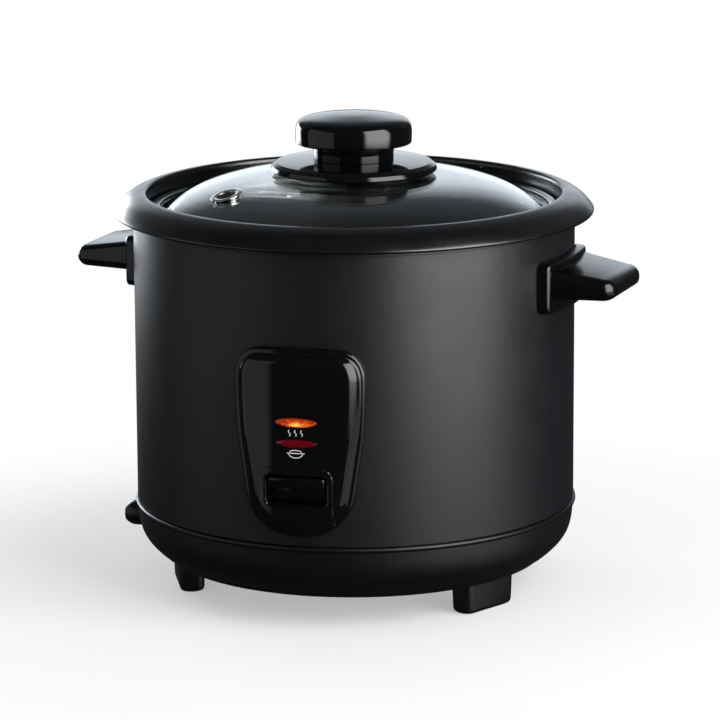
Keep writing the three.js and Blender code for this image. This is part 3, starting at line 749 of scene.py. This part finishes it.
def add_ring():
    lip_r = 111.4
    lip_z = 189.5
    crown = spline([
        (WELL_R, RING_TOP - 3.6), (WELL_R + 0.1, RING_TOP - 1.7), (WELL_R + 0.8, RING_TOP - 0.4),
        (WELL_R + 2.2, RING_TOP), (108, RING_TOP - 0.45), (112, RING_TOP - 2.15), (115.4, RING_TOP - 4.6),
        (117.8, RING_TOP - 7.1), (RING_R - 0.15, RING_TOP - 9), (RING_R, RING_TOP - 9.7),
        (118.9, RING_TOP - 10.4), (117.4, lip_z - 0.35), (115.6, lip_z - 0.3),
    ])
    inner = spline([
        (116.2, lip_z + 0.95), (117.2, lip_z + 1.7), (116.3, RING_TOP - 7.4), (114.3, RING_TOP - 5.6),
        (111.2, RING_TOP - 3.6), (107.4, RING_TOP - 1.8), (WELL_R + 1.7, RING_TOP - 1.7),
        (WELL_R + 1.2, RING_TOP - 3.2),
    ])
    shelf = rounded([
        (WELL_R + 1.2, SHELF_Z - 0.4), (WELL_R + 1.2, SHELF_Z - 1.2, 1.2), (101.3, SHELF_Z - 1.2, 0.5),
        (101.3, SHELF_Z, 0.5), (WELL_R, SHELF_Z, 0.6), (WELL_R, SHELF_Z + 1.5),
    ])
    lip = rounded([(113, lip_z), (lip_r, lip_z, 0.5), (lip_r, lip_z + 1.2, 0.5), (113, lip_z + 1.2)])
    mesh = turned([*crown, *lip, *inner, *shelf])
    piece("casing_ring", mesh, "root", "ring_paint", "top_ring")


def add_shell():
    seam_z = 186.7
    wall = 0.8
    profile = rounded([
        (SHELL_R, SHELL_FOOT, 0.3), (SHELL_R, seam_z, 0.1), (SHELL_R - 0.18, seam_z + 0.12, 0.1),
        (SHELL_R - 0.18, SHELL_TOP, 0.2), (SHELL_R - wall, SHELL_TOP, 0.2),
        (SHELL_R - wall, SHELL_FOOT, 0.3),
    ], closed=True)
    lever_slot = box_mesh((-8, -120, 66), (8, -100, 81))
    lamp_hole = moved(drill(4, 90, 130), ALONG_X, turn_z(-90), shift(0, 0, (WARM_Z + COOK_Z) / 2))
    mesh = cut(turned(profile), lever_slot, lamp_hole)
    piece("shell_band", mesh, "root", "shell_paint", "outer_shell")


def add_base():
    outside = rounded([(66, BASE_Z, 0.4), (94.9, BASE_Z, 1.2), (96.4, 18.1, 0.5), (98.9, 18.7, 0.8)])
    bowl = spline([
        (99.3, 18.95), (101.9, 21.2), (105.4, 24.9), (107.9, 29.2), (109.2, 34.2), (109.75, 39.2),
        (109.9, 41),
    ], 4)
    bead = spline([
        (109.95, 41.6), (110.5, 42.05), (110.98, 42.6), (BEAD_R, 43.25), (110.85, 43.95), (110.3, 44.3),
    ], 4)
    collar = [(109.6, 44.35), (108.8, 44.3), (108.8, 50), (107.2, 50)]
    inside_bowl = spline(
        [(107.4, 36), (106.8, 31.6), (105, 28), (101.6, 24), (97.4, 20.2), (92.6, BASE_Z + 2)], 4
    )
    bowl_mesh = turned([*outside, *bowl, *bead, *collar, *inside_bowl, (66, BASE_Z + 2)])
    boss = rounded([(0, 93.6), (7.6, 93.6), (7.6, 110.2, 0.8), (0, 110.2)])
    boss_mesh = moved(turned(boss, MEDIUM), TOWARDS_LEFT, shift(0, 0, GLAND_Z))
    holes = [moved(drill(5, 80, 140), TOWARDS_LEFT, shift(0, 0, GLAND_Z))]
    feet = (FOOT_AT, FOOT_TURNS.values(), FOOT_HOLE_R)
    for at, turns, radius in (feet, (COVER_SCREW_AT, COVER_SCREW_TURNS, COVER_HOLE_R)):
        holes += [moved(drill(radius, 5, 25), shift(at, 0, 0), turn_z(turn)) for turn in turns]
    mesh = cut(combine(bowl_mesh, boss_mesh, "UNION"), *holes)
    piece("base_bowl", mesh, "root", "base_paint", "base_shell")


def add_cover():
    """The vented bottom plate."""
    top = COVER_Z + 1.95
    bevel, bevel_width = 0.5, 0.8
    dish_inner, dish_outer = 20, 60
    dish_rise, dish_slope = 0.6, 3
    vent_start, vent_end, vent_half = 30, 52, 1.7
    vent_count = 10
    steps = 10
    slot = []
    for centre, start in ((vent_end - vent_half, -90), (vent_start + vent_half, 90)):
        for k in range(steps + 1):
            angle = radians(start + 180 * k / steps)
            slot.append((centre + vent_half * cos(angle), vent_half * sin(angle)))
    holes = []
    for i in range(vent_count):
        spin = Matrix.Rotation(-2 * pi * i / vent_count, 2)
        holes.append([tuple(spin @ Vector(point)) for point in slot])
    for turn in COVER_SCREW_TURNS:
        angle = radians(turn)
        x, y = COVER_SCREW_AT * cos(angle), COVER_SCREW_AT * sin(angle)
        holes.append([(x + p.x, y + p.y) for p in ring_at(COVER_HOLE_R, 0, 24)])
    outline = [(p.x, p.y) for p in ring_at(COVER_R, 0, MEDIUM)]
    rim = distance_to(outline)

    def lift(x, y):
        radius = hypot(x, y)
        past_dish = max(0, dish_inner - radius, radius - dish_outer)
        dish = dish_rise * max(0, 1 - past_dish / dish_slope)
        edge = bevel * max(0, 1 - rim(x, y) / bevel_width) if radius > COVER_R - 1 else 0
        return Vector((x, y, COVER_Z + edge + dish)), Vector((x, y, top))

    mesh = flat_mesh(outline, holes, 2.4, lift)
    piece("vented_cover", mesh, "root", "cover_steel", "bottom_cover")


def add_liner():
    wall = 0.8
    outer = 100.4
    inner = outer - wall
    floor_z = 76
    flange = SHELF_Z + 0.3
    opening = 58
    profile = rounded([
        (WELL_R - 0.4, flange, 0.2), (outer, flange, 0.8), (outer, floor_z, 4), (opening, floor_z, 0.2),
        (opening, floor_z + wall, 0.2), (inner, floor_z + wall, 3.2), (inner, flange + wall, 1),
        (WELL_R - 0.4, flange + wall, 0.2),
    ], closed=True)
    piece("heat_liner", turned(profile), "root", "liner_aluminium", "inner_liner")


# ---------- Feet, gland and screws ----------


def foot_mesh():
    """A block with a round lower edge, a counterbore and a screw hole."""
    half_x, half_y = FOOT_HALF
    corner, edge, taper = 4.0, 2.4, 0.35
    top = BASE_Z - 0.3
    bore_r, bore_z = 3.9, 9.5
    per_corner = 7

    def block_ring(z, inset):
        outline = rounded_rectangle(half_x - inset, half_y - inset, corner, per_corner)
        return [Vector((x, y, z)) for x, y in outline]

    def hole_ring(radius, z):
        shares = [c + k / per_corner for c in range(4) for k in range(per_corner + 1)]
        turns = [radians(90) * share for share in shares]
        return [Vector((radius * cos(t), radius * sin(t), z)) for t in turns]

    rings = [block_ring(top, 0), block_ring(top - 0.6, 0), block_ring(edge, taper)]
    for t in quarter(5):
        rings.append(block_ring(edge * (1 - sin(t)), taper + edge * (1 - cos(t))))
    rings += [hole_ring(bore_r, z) for z in (0, 0.4, bore_z)]
    rings += [hole_ring(FOOT_HOLE_R, z) for z in (bore_z, top)]
    return loft_mesh(rings, closed=True)


def add_feet():
    for place, turn in FOOT_TURNS.items():
        mesh = moved(foot_mesh(), shift(FOOT_AT, 0, 0), turn_z(turn))
        piece(f"rest_foot_{place}", mesh, "root", "black_satin", f"foot_{place}")


def screw_mesh(radius, length, head_r, head_h):
    """A pan-head screw along +Z with a cross recess. Its seat is at z = 0."""
    shank = rounded([
        (0, -head_h), (head_r * 0.72, -head_h, head_h * 0.4), (head_r, -head_h * 0.4, head_h * 0.4),
        (head_r, 0, 0.12), (radius, 0), (radius, length - radius), (0, length),
    ])
    mesh = turned(shank, SMALL)
    reach, half = head_r * 0.55, head_r * 0.13
    bottom, deep = -head_h - 1, -head_h + head_h * 0.55
    arms = ((reach, half), (half, reach))
    return cut(mesh, *[box_mesh((-x, -y, bottom), (x, y, deep)) for x, y in arms])


def add_screws():
    for place, turn in FOOT_TURNS.items():
        mesh = moved(screw_mesh(1.7, 14, 3.4, 2.2), shift(FOOT_AT, 0, 9.2), turn_z(turn))
        piece(f"foot_fixing_{place}", mesh, "root", "plated_screw", f"foot_screw_{place}")
    cover_seat = shift(COVER_SCREW_AT, 0, COVER_Z - 0.3)
    for i, turn in enumerate(COVER_SCREW_TURNS, 1):
        mesh = moved(screw_mesh(1.5, 8, 3.2, 1.8), cover_seat, turn_z(turn))
        piece(f"cover_fixing_{i}", mesh, "root", "plated_screw", f"cover_screw_{i}")
    length = 25
    knob_seat = shift(0, 0, high("knob_screw").z - length)
    mesh = moved(screw_mesh(2.5, length, 5, 2.6), knob_seat)
    piece("knob_fixing", mesh, "lid", "plated_screw", "knob_screw")


def add_gland():
    bore = 3.75
    seat = 110.5
    profile = rounded([
        (bore, 88.6, 0.2), (4.7, 88.6, 0.3), (4.7, seat), (GLAND_R, seat, 0.4),
        (GLAND_R, GLAND_TIP - 4.8), (GLAND_R - 0.5, GLAND_TIP - 2.7), (GLAND_R - 1.5, GLAND_TIP - 0.9),
        (GLAND_R - 2.1, GLAND_TIP - 0.2), (bore + 0.2, GLAND_TIP), (bore, GLAND_TIP - 0.3),
    ], closed=True)
    mesh = moved(turned(profile, MEDIUM), TOWARDS_LEFT, shift(0, 0, GLAND_Z))
    piece("cord_bush", mesh, "root", "black_satin", "cord_gland")


# ---------- Handles ----------


def grip_mesh():
    """The wedge that the hand holds: sections square to X that shrink round the tip."""
    start_x, tip_depth = 108, 6.5
    flat_end = HANDLE_TIP - tip_depth
    wide, narrow = 28.6, 24.6
    bottom, top_start, top_end = 156.2, 171.7, 166.9
    corner = 4.4
    tip_inset_y, tip_inset_z = 8.5, 4.9
    rings = []

    def section(x, half_y, low_z, high_z, radius):
        outline = rounded_rectangle(half_y, (high_z - low_z) / 2, radius)
        middle = (high_z + low_z) / 2
        return [Vector((x, y, middle + z)) for y, z in outline]

    for share in [k / 8 for k in range(9)]:
        x = start_x + (flat_end - start_x) * share
        half_y = wide + (narrow - wide) * share
        top = top_start + (top_end - top_start) * share
        rings.append(section(x, half_y, bottom, top, corner))
    for t in quarter(9):
        inset_y = tip_inset_y * (1 - cos(t))
        inset_z = tip_inset_z * (1 - cos(t))
        x = flat_end + tip_depth * sin(t)
        round_off = min(corner, (top_end - bottom) / 2 - inset_z - 0.05)
        rings.append(section(x, narrow - inset_y, bottom + inset_z, top_end - inset_z, round_off))
    return loft_mesh(rings)


def plate_mesh():
    """The plate that lies against the shell, with a round front edge."""
    half_y = 30
    half_z = (HANDLE_TOP - HANDLE_FOOT) / 2
    middle = (HANDLE_TOP + HANDLE_FOOT) / 2
    back_r = SHELL_R + 0.5
    edge = 1.7

    def section(radius, inset):
        outline = rounded_rectangle(half_y - inset, half_z - inset, 4 - inset, 8)
        dense = []
        for (y1, z1), (y2, z2) in sides_of(outline):
            parts = 10 if abs(y2 - y1) > 6 else 1
            for k in range(parts):
                dense.append((y1 + (y2 - y1) * k / parts, z1 + (z2 - z1) * k / parts))
        return [Vector((sqrt(radius**2 - y * y), y, middle + z)) for y, z in dense]

    shrink = 0.25
    rings = [section(back_r, 0.2), section(back_r + 0.3, 0), section(HANDLE_PLATE_R - edge, shrink)]
    for t in quarter(6):
        radius = HANDLE_PLATE_R - edge * (1 - sin(t))
        rings.append(section(radius, shrink + edge * (1 - cos(t))))
    return capped_plate(rings, face_strips(rings[-1]))


def face_strips(ring):
    """Pairs of ring points of equal Y, as (low, high) indices, so that a cap can follow a curve."""
    columns = {}
    for i in sorted(range(len(ring)), key=lambda i: (round(ring[i].y, 3), ring[i].z)):
        columns.setdefault(round(ring[i].y, 3), []).append(i)
    return [(column[0], column[-1]) for column in columns.values() if len(column) > 1]


def capped_plate(rings, strips):
    """A loft of rings whose two ends are closed by strips, which keep the curve about Z."""
    mesh = loft_mesh(rings, ends=False, finished=False)
    count = len(rings[0])
    work = bmesh.new()
    work.from_mesh(mesh)
    work.verts.ensure_lookup_table()
    for base in (0, (len(rings) - 1) * count):
        work.faces.new([work.verts[base + i] for i in range(count)])
        for low_i, high_i in strips[1:-1]:
            a, b = work.verts[base + low_i], work.verts[base + high_i]
            shared = [f for f in a.link_faces if f in b.link_faces and len(f.verts) > 4]
            if shared and not any(b in e.verts for e in a.link_edges):
                bmesh.utils.face_split(shared[0], a, b)
    work.to_mesh(mesh)
    work.free()
    return finish_mesh(mesh)


def add_handles():
    for side, turn in (("right", HANDLE_TURN), ("left", HANDLE_TURN + 180)):
        mesh = moved(joined([plate_mesh(), grip_mesh()]), turn_z(turn))
        piece(f"grip_{side}", mesh, "root", "black_gloss", f"handle_{side}", "handle_gloss")


# ---------- Control panel ----------


def quadratic(start, control, end, steps):
    """Points of a curve from start up to, but without, its end."""
    made = []
    for t in [k / steps for k in range(steps)]:
        near, middle, far = (1 - t) ** 2, 2 * t * (1 - t), t * t
        made.append(tuple(near * a + middle * b + far * c for a, b, c in zip(start, control, end)))
    return made


def panel_outline():
    """From the top's middle down the left side, then back up the right."""
    widen = 1.04
    half = [
        *quadratic((0, 142.4), (-10, 142.3), (-19, 142), 8),
        *quadratic((-19, 142), (-30.4, 140.8), (-31, 128), 14),
        *quadratic((-31, 128), (-31.2, 115), (-29.8, 99), 12),
        *quadratic((-29.8, 99), (-27.9, 86), (-25.8, 71), 12),
        *quadratic((-25.8, 71), (-22.8, 51), (0, 50.6), 22),
    ]
    half = [(x * widen, z) for x, z in half]
    mirrored = [(-x, z) for x, z in reversed(half[1:])]
    return [*half, (0, 50.6), *mirrored]


def shifted_loop(half_x, half_z, radius, middle_z, steps=8):
    """A rounded rectangle on the panel, as points (x, z)."""
    return [(x, middle_z + z) for x, z in rounded_rectangle(half_x, half_z, radius, steps)]


def ellipse_loop(half_x, half_z, middle_z, steps=48):
    turns = [2 * pi * k / steps for k in range(steps)]
    return [(half_x * cos(t), middle_z + half_z * sin(t)) for t in turns]


def on_cylinder(x, radius, z):
    return Vector((x, -sqrt(radius * radius - x * x), z))


def inset_points(outline, distance, edge, gap=0.55):
    """Points at an even spacing on a line that runs inside an outline at a distance from it."""
    made = []
    for start, end in sides_of(outline):
        along = Vector(end) - Vector(start)
        count = max(1, round(along.length / gap))
        inward = Vector((-along.y, along.x)).normalized() * distance
        for k in range(count):
            point = Vector(start) + along * (k / count) + inward
            if edge(point.x, point.y) > distance - 0.02:
                made.append(tuple(point))
    return made


def panel_radius(edge_distance):
    """How far out the panel's face lies, by the distance from its outline."""
    flange, bend, fillet, drop = 2.5, 6.4, 0.35, 0.3
    roll, roll_width = 0.8, 1.25
    start_angle = radians(62)
    flange_r = PANEL_R - bend * (1 - cos(start_angle)) - drop
    reach = bend * sin(start_angle)
    flat = flange_r - roll * (1 - min(1, edge_distance / roll_width)) ** 2
    inward = max(0, flange + reach - edge_distance)
    round_r = PANEL_R - bend + sqrt(max(0, bend * bend - inward * inward))
    if round_r - flat > 2:
        return round_r
    return (flat + round_r + sqrt((round_r - flat) ** 2 + fillet**2)) / 2 - fillet / 8


def add_panel():
    outline = panel_outline()
    window_mid = (WINDOW_LOW + WINDOW_HIGH) / 2
    window = shifted_loop(WINDOW_HALF, (WINDOW_HIGH - WINDOW_LOW) / 2, 2.2, window_mid)
    gap = 0.25
    lens_holes = [ellipse_loop(LENS_HALF[0] + gap, LENS_HALF[1] + gap, z) for z in (WARM_Z, COOK_Z)]
    edge = distance_to(outline)
    window_edge = distance_to(window)
    step_half_x, step_half_z, step_corner, step_mid = 17.8, 21, 5.6, 64.4
    step_rise, step_width = 0.5, 0.3
    surround = shifted_loop(step_half_x, step_half_z, step_corner, step_mid)
    surround_edge = distance_to(surround)
    dots = []
    for inset in (0, step_width):
        loop = shifted_loop(step_half_x - inset, step_half_z - inset, step_corner - inset, step_mid, 10)
        dots += [point for point in loop if inside(point, outline) and edge(*point) > 0.5]
    for k in range(1, 14):
        dots += inset_points(outline, 0.5 * k, edge)
    round_over, round_width = 0.5, 0.6
    pocket_half, pocket_low, pocket_high = 16.4, 56.5, 92
    pocket_r, back_r = 115.6, SHELL_R + 0.6

    def lift(x, z):
        radius = panel_radius(edge(x, z))
        if inside((x, z), surround):
            rise = min(1, surround_edge(x, z) / step_width)
            radius += step_rise * rise * rise * (3 - 2 * rise)
        near_window = window_edge(x, z)
        if near_window < round_width and abs(x) < WINDOW_HALF + 2:
            radius -= round_over * (1 - near_window / round_width) ** 2
        in_pocket = abs(x) < pocket_half and pocket_low < z < pocket_high
        return on_cylinder(x, radius, z), on_cylinder(x, pocket_r if in_pocket else back_r, z)

    mesh = flat_mesh(outline, [window, *lens_holes], 0.62, lift, dots)
    piece("panel_face", mesh, "root", "black_gloss", "control_panel")


def lens_mesh(middle_z):
    """A shallow elliptical dome with a stem behind it."""
    face_r = PANEL_R - 0.35
    step = 0.16
    dome = 0.462
    stations = [(1, -1.6), (1, -0.15), (0.985, 0.02), (0.95, step)]
    stations += [(share, step + dome * sqrt(1 - share**2)) for share in (0.85, 0.7, 0.5, 0.3, 0.12)]
    rings = []
    for share, out in stations:
        loop = ellipse_loop(LENS_HALF[0] * share, LENS_HALF[1] * share, middle_z, 64)
        rings.append([on_cylinder(x, face_r + out, z) for x, z in loop])
    return loft_mesh(rings)


def ribbon(points, half, thickness):
    """A printed stroke of constant width on the panel's face, from points (x, z)."""
    rings = []
    for i, (x, z) in enumerate(points):
        before = Vector(points[max(0, i - 1)])
        after = Vector(points[min(len(points) - 1, i + 1)])
        along = (after - before).normalized()
        side = Vector((-along.y, along.x)) * half
        x1, z1, x2, z2 = x - side.x, z - side.y, x + side.x, z + side.y
        back, front = PANEL_R - 0.05, PANEL_R + thickness
        corners = ((x1, back, z1), (x2, back, z2), (x2, front, z2), (x1, front, z1))
        rings.append([on_cylinder(*corner) for corner in corners])
    return loft_mesh(rings)


def add_pictograms():
    """Plain printed signs: rising steam for keeping warm, and a bowl for cooking."""
    half, thickness = 0.22, 0.03
    sway, tall = 0.45, 3.0
    foot_z = WARM_Z - 6.5
    shares = [k / 16 for k in range(17)]
    strokes = []
    for x in (-3, 0, 3):
        wave = [(x + sway * sin(share * 2 * pi), foot_z + tall * share) for share in shares]
        strokes.append(ribbon(wave, half, thickness))
    piece("warm_sign", joined(strokes), "root", "black_gloss", None, "white_print")
    rim_z = COOK_Z - 4.6

    def half_ellipse(half_x, rise, z):
        turns = [pi * k / 18 for k in range(19)]
        return [(half_x * cos(t), z + rise * sin(t)) for t in turns]

    bowl = half_ellipse(3.5, -2.2, rim_z)
    rim = [(-4.4 + 0.88 * k, rim_z) for k in range(11)]
    lid = half_ellipse(3.0, 1.0, rim_z + 0.5)
    strokes = [ribbon(line, half, thickness) for line in (bowl, rim, lid)]
    piece("cook_sign", joined(strokes), "root", "black_gloss", None, "white_print")


def add_lenses():
    piece("lens_warm", lens_mesh(WARM_Z), "root", "amber_lens", "warm_lens")
    piece("lens_cook", lens_mesh(COOK_Z), "root", "red_lens", "cook_lens")


def add_key():
    """The switch key: a round-edged bar that a finger presses, on an apron that fills the window."""
    bar_mid, bar_half = 77.7, 2.8
    half_x = 14.1
    end_r, back_r = 118.75, 112.4
    crown = 0.6
    edge = 1.3
    tilt = 0.12

    def bar_section(x, inset):
        front = end_r + crown * (1 - (x / half_x) ** 2) - inset
        middle_r = (front + back_r) / 2
        points = []
        for r, z in rounded_rectangle((front - back_r) / 2, bar_half - inset, 1.5):
            out = sqrt((middle_r + r) ** 2 - x * x) + tilt * z
            points.append(Vector((x, -out, bar_mid + z)))
        return points

    turns = quarter(6, 0)
    span = 2 * (half_x - edge)
    rings = [bar_section(-half_x + edge * (1 - cos(t)), edge * (1 - sin(t))) for t in turns]
    rings += [bar_section(-half_x + edge + span * k / 12, 0) for k in range(1, 12)]
    rings += [bar_section(half_x - edge * (1 - sin(t)), edge * (1 - cos(t))) for t in turns]
    bar = loft_mesh(rings)
    apron_half_x, apron_half_z, apron_mid = 14.6, 12.75, 77.25
    rings = []
    for radius, inset in ((111.2, 0.3), (111.4, 0), (112.0, 0), (112.3, 0.3)):
        outline = shifted_loop(apron_half_x - inset, apron_half_z - inset, 1.2, apron_mid, 5)
        rings.append([Vector((x, -radius, z)) for x, z in outline])
    apron = loft_mesh(rings)
    piece("switch_key", joined([bar, apron]), "lever", "black_gloss", "lever_key")


# ---------- Heater and pot ----------


def add_heater():
    boss, web = 82.5, 89.5
    profile = rounded([
        (17.5, 86, 0.3), (17.5, PLATE_TOP, 0.8), (PLATE_R, PLATE_TOP, 3), (PLATE_R, web, 1.2),
        (67, web, 1.5), (64.6, boss, 3), (51.4, boss, 3), (49, web, 1.5), (23, web, 1.2), (21, 86, 0.5),
    ], closed=True)
    piece("hot_plate", turned(profile), "root", "cast_aluminium", "heating_plate")
    wall, cap_r, lip_r = 1.2, 15.5, 16.9
    foot, lip_z = 80, 81.2
    cap = rounded([
        (0, PLATE_TOP), (cap_r, PLATE_TOP, 1.1), (cap_r, lip_z, 0.3), (lip_r, lip_z, 0.2),
        (lip_r, foot, 0.2), (cap_r - wall, foot, 0.2), (cap_r - wall, PLATE_TOP - wall, 0.6),
        (0, PLATE_TOP - wall),
    ])
    piece("sensor_cup", turned(cap, MEDIUM), "sensor", "liner_aluminium", "sensor_cap")


def add_magnet_spring():
    """A coil that stands on the magnet and rides with it as the magnet rises to the ferrite."""
    bottom, top = low("magnet_spring").z, high("magnet_spring").z
    wire = 0.4
    middle_r = high("magnet_spring").x - wire
    rise = top - bottom - 2 * wire
    turns = 3
    steps = 24 * turns
    up = Vector((0, 0, 1))
    round_wire = [radians(36 * i) for i in range(10)]
    rings = []
    for share in [k / steps for k in range(steps + 1)]:
        out = out_at(2 * pi * turns * share)
        centre = out * middle_r + up * (bottom + wire + rise * share)
        rings.append([centre + (out * cos(a) + up * sin(a)) * wire for a in round_wire])
    coil = piece("magnet_coil", loft_mesh(rings), "magnet", "spring_steel", "magnet_spring")
    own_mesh(coil)


def level_marks():
    """Raised level lines inside the pot, a long one at every other step."""
    lowest, spacing, count = 112, 9, 7
    root_r = POT_R - POT_WALL + 0.1
    face_r = POT_R - POT_WALL - 0.3
    section = ((root_r, -0.5), (face_r, -0.25), (face_r, 0.25), (root_r, 0.5))
    marks = []
    for i in range(count):
        z = lowest + spacing * i
        half_angle = 5 if i % 2 == 0 else 3
        rings = []
        for k in range(13):
            out = out_at(radians(90 + half_angle * (k / 6 - 1)))
            rings.append([out * r + Vector((0, 0, z + dz)) for r, dz in section])
        marks.append(loft_mesh(rings))
    return marks


def add_pot():
    inner = POT_R - POT_WALL
    floor = POT_FOOT + POT_WALL
    profile = rounded([
        (0, POT_FOOT), (POT_R, POT_FOOT, 9.5), (POT_R, POT_RIM - 1.3, 0.8),
        (POT_RIM_R, POT_RIM - 1.3, 0.55), (POT_RIM_R, POT_RIM, 0.55), (inner, POT_RIM, 1.6),
        (inner, floor, 8.2), (0, floor),
    ])
    mesh = joined([turned(profile), *level_marks()])
    piece("cooking_pot", mesh, "pot", "non_stick", "inner_pot")


# ---------- Lid ----------


def dome_height(radius):
    return GLASS_TOP - DOME_FALL * (radius / DOME_R) ** DOME_POWER


def dome_slope(radius):
    return DOME_FALL * DOME_POWER / DOME_R * (radius / DOME_R) ** (DOME_POWER - 1)


def in_vent(mesh):
    """Carries a mesh built round Z at the origin into the vent's place."""
    tilt = Matrix.Rotation(atan(dome_slope(VENT_AT)), 4, "Y")
    return moved(mesh, tilt, shift(VENT_AT, 0, dome_height(VENT_AT)), turn_z(VENT_TURN))


def add_glass():
    wall, thinning = 3.4, 0.35
    inner_end = 92.5
    stations = [4.5, 14, 24, 34, 44, 52, 60, 67, 73, 78, 83, 87, 90.5, 93]
    outer = [(radius, dome_height(radius)) for radius in stations]
    rim = spline([(94.6, 192.3), (96.8, 191.5), (98.6, 191.15), (GLASS_R, 190.4)], 4)
    foot = rounded([(GLASS_R, 190), (GLASS_R, 187.6, 0.8), (96.6, 187.6, 0.8), (95, 188.2)])
    inner = []
    for radius, z in reversed(outer):
        slope = dome_slope(radius)
        thick = (wall - thinning * radius / DOME_R) / hypot(1, slope)
        inner.append((radius - thick * slope, z - thick))
    inner = [point for point in inner if point[0] < inner_end]
    mesh = turned([*outer, *rim, *foot, *inner])
    hole = in_vent(drill(6.2, -20, 20, 48))
    piece("dome_glass", cut(mesh, hole), "lid", "lid_glass", "lid_glass")


def add_band():
    floor = POT_RIM + 0.3
    profile = rounded([
        (93.9, 182, 0.25), (93.9, floor, 0.35), (BAND_R, floor, 1.1), (BAND_R, 192.5, 1.5),
        (96.9, 192.5, 0.35), (97.1, 191.75, 0.25), (BAND_R - 1.6, 191.5, 0.7),
        (BAND_R - 1.6, floor + 0.7, 0.5), (93.2, floor + 0.7, 0.4), (93.2, 182, 0.25),
    ], closed=True)
    piece("lid_rim", turned(profile), "lid", "polished_steel", "lid_band")


def add_vent():
    profile = rounded([
        (4.9, -5.6, 0.3), (7.4, -5.6, 0.4), (7.4, -4.6, 0.3), (5.8, -4.5), (5.8, 0.4), (8, 0.4, 0.2),
        (7.9, 0.9, 0.3), (6.4, 1.2, 0.5), (4.9, 0.9, 0.4),
    ], closed=True)
    piece("vent_eyelet", in_vent(turned(profile, 64)), "lid", "polished_steel", "steam_vent")


def add_knob():
    foot = DISC_TOP + 0.05
    screw_end = DISC_TOP + 14
    cap = rounded([
        (SCREW_HOLE_R, foot), (NECK_R, foot, 0.25), (NECK_R, CAP_FOOT, 0.5), (CAP_R - 0.2, CAP_FOOT, 0.7),
        (CAP_R, CAP_FOOT + 5),
    ])
    crown = spline([
        (CAP_R, CAP_FOOT + 5), (CAP_R - 0.1, 230.4), (CAP_R - 0.45, 232.3), (CAP_R - 1.4, 234.1),
        (CAP_R - 3.2, 235.45), (CAP_R - 6.4, 236.4), (16, 237.4), (8, 238.25), (0, CAP_TOP),
    ], 5)
    profile = [*cap, *crown[1:], (0, screw_end), (SCREW_HOLE_R, screw_end)]
    piece("knob_cap", turned(profile), "lid", "black_gloss", "knob")


def add_disc():
    foot = 209.6
    profile = rounded([
        (SCREW_HOLE_R, GLASS_TOP + 0.3), (16, GLASS_TOP + 0.3, 0.5), (18, foot, 0.6),
        (DISC_R - 0.9, foot, 0.4), (DISC_R, foot + 0.9, 0.5), (DISC_R - 0.7, foot + 3.0, 0.9),
        (DISC_R - 3.1, DISC_TOP - 1.2, 0.9), (NECK_R + 1, DISC_TOP), (SCREW_HOLE_R, DISC_TOP),
    ], closed=True)
    piece("knob_plate", turned(profile), "lid", "black_gloss", "knob_disc")


def add_gasket():
    top = high("knob_gasket").z
    foot = top - 1.4
    corners = [(SCREW_HOLE_R, foot), (11, foot, 0.5), (11, top, 0.5), (SCREW_HOLE_R, top)]
    profile = rounded(corners, closed=True)
    piece("knob_washer", turned(profile, MEDIUM), "lid", "silicone", "knob_gasket")


# ---------- Nodes that stay as the CAD made them ----------


def dress_nodes():
    """Every CAD node gets the procedural material of its slot."""
    for part in frame["record"]["subparts"]:
        node = frame["nodes"][part["node"]]
        name = part["material_slot"]
        node.data.materials.clear()
        node.data.materials.append(MATERIALS[name])


# ---------- The scene ----------

add_studio()
MATERIALS.update(make_materials())
dress_nodes()

for add in (
    add_ring, add_shell, add_base, add_cover, add_liner, add_feet, add_screws, add_gland, add_handles,
    add_panel, add_lenses, add_pictograms, add_key, add_heater, add_magnet_spring, add_pot, add_glass,
    add_band, add_vent, add_knob, add_disc, add_gasket,
):
    add()
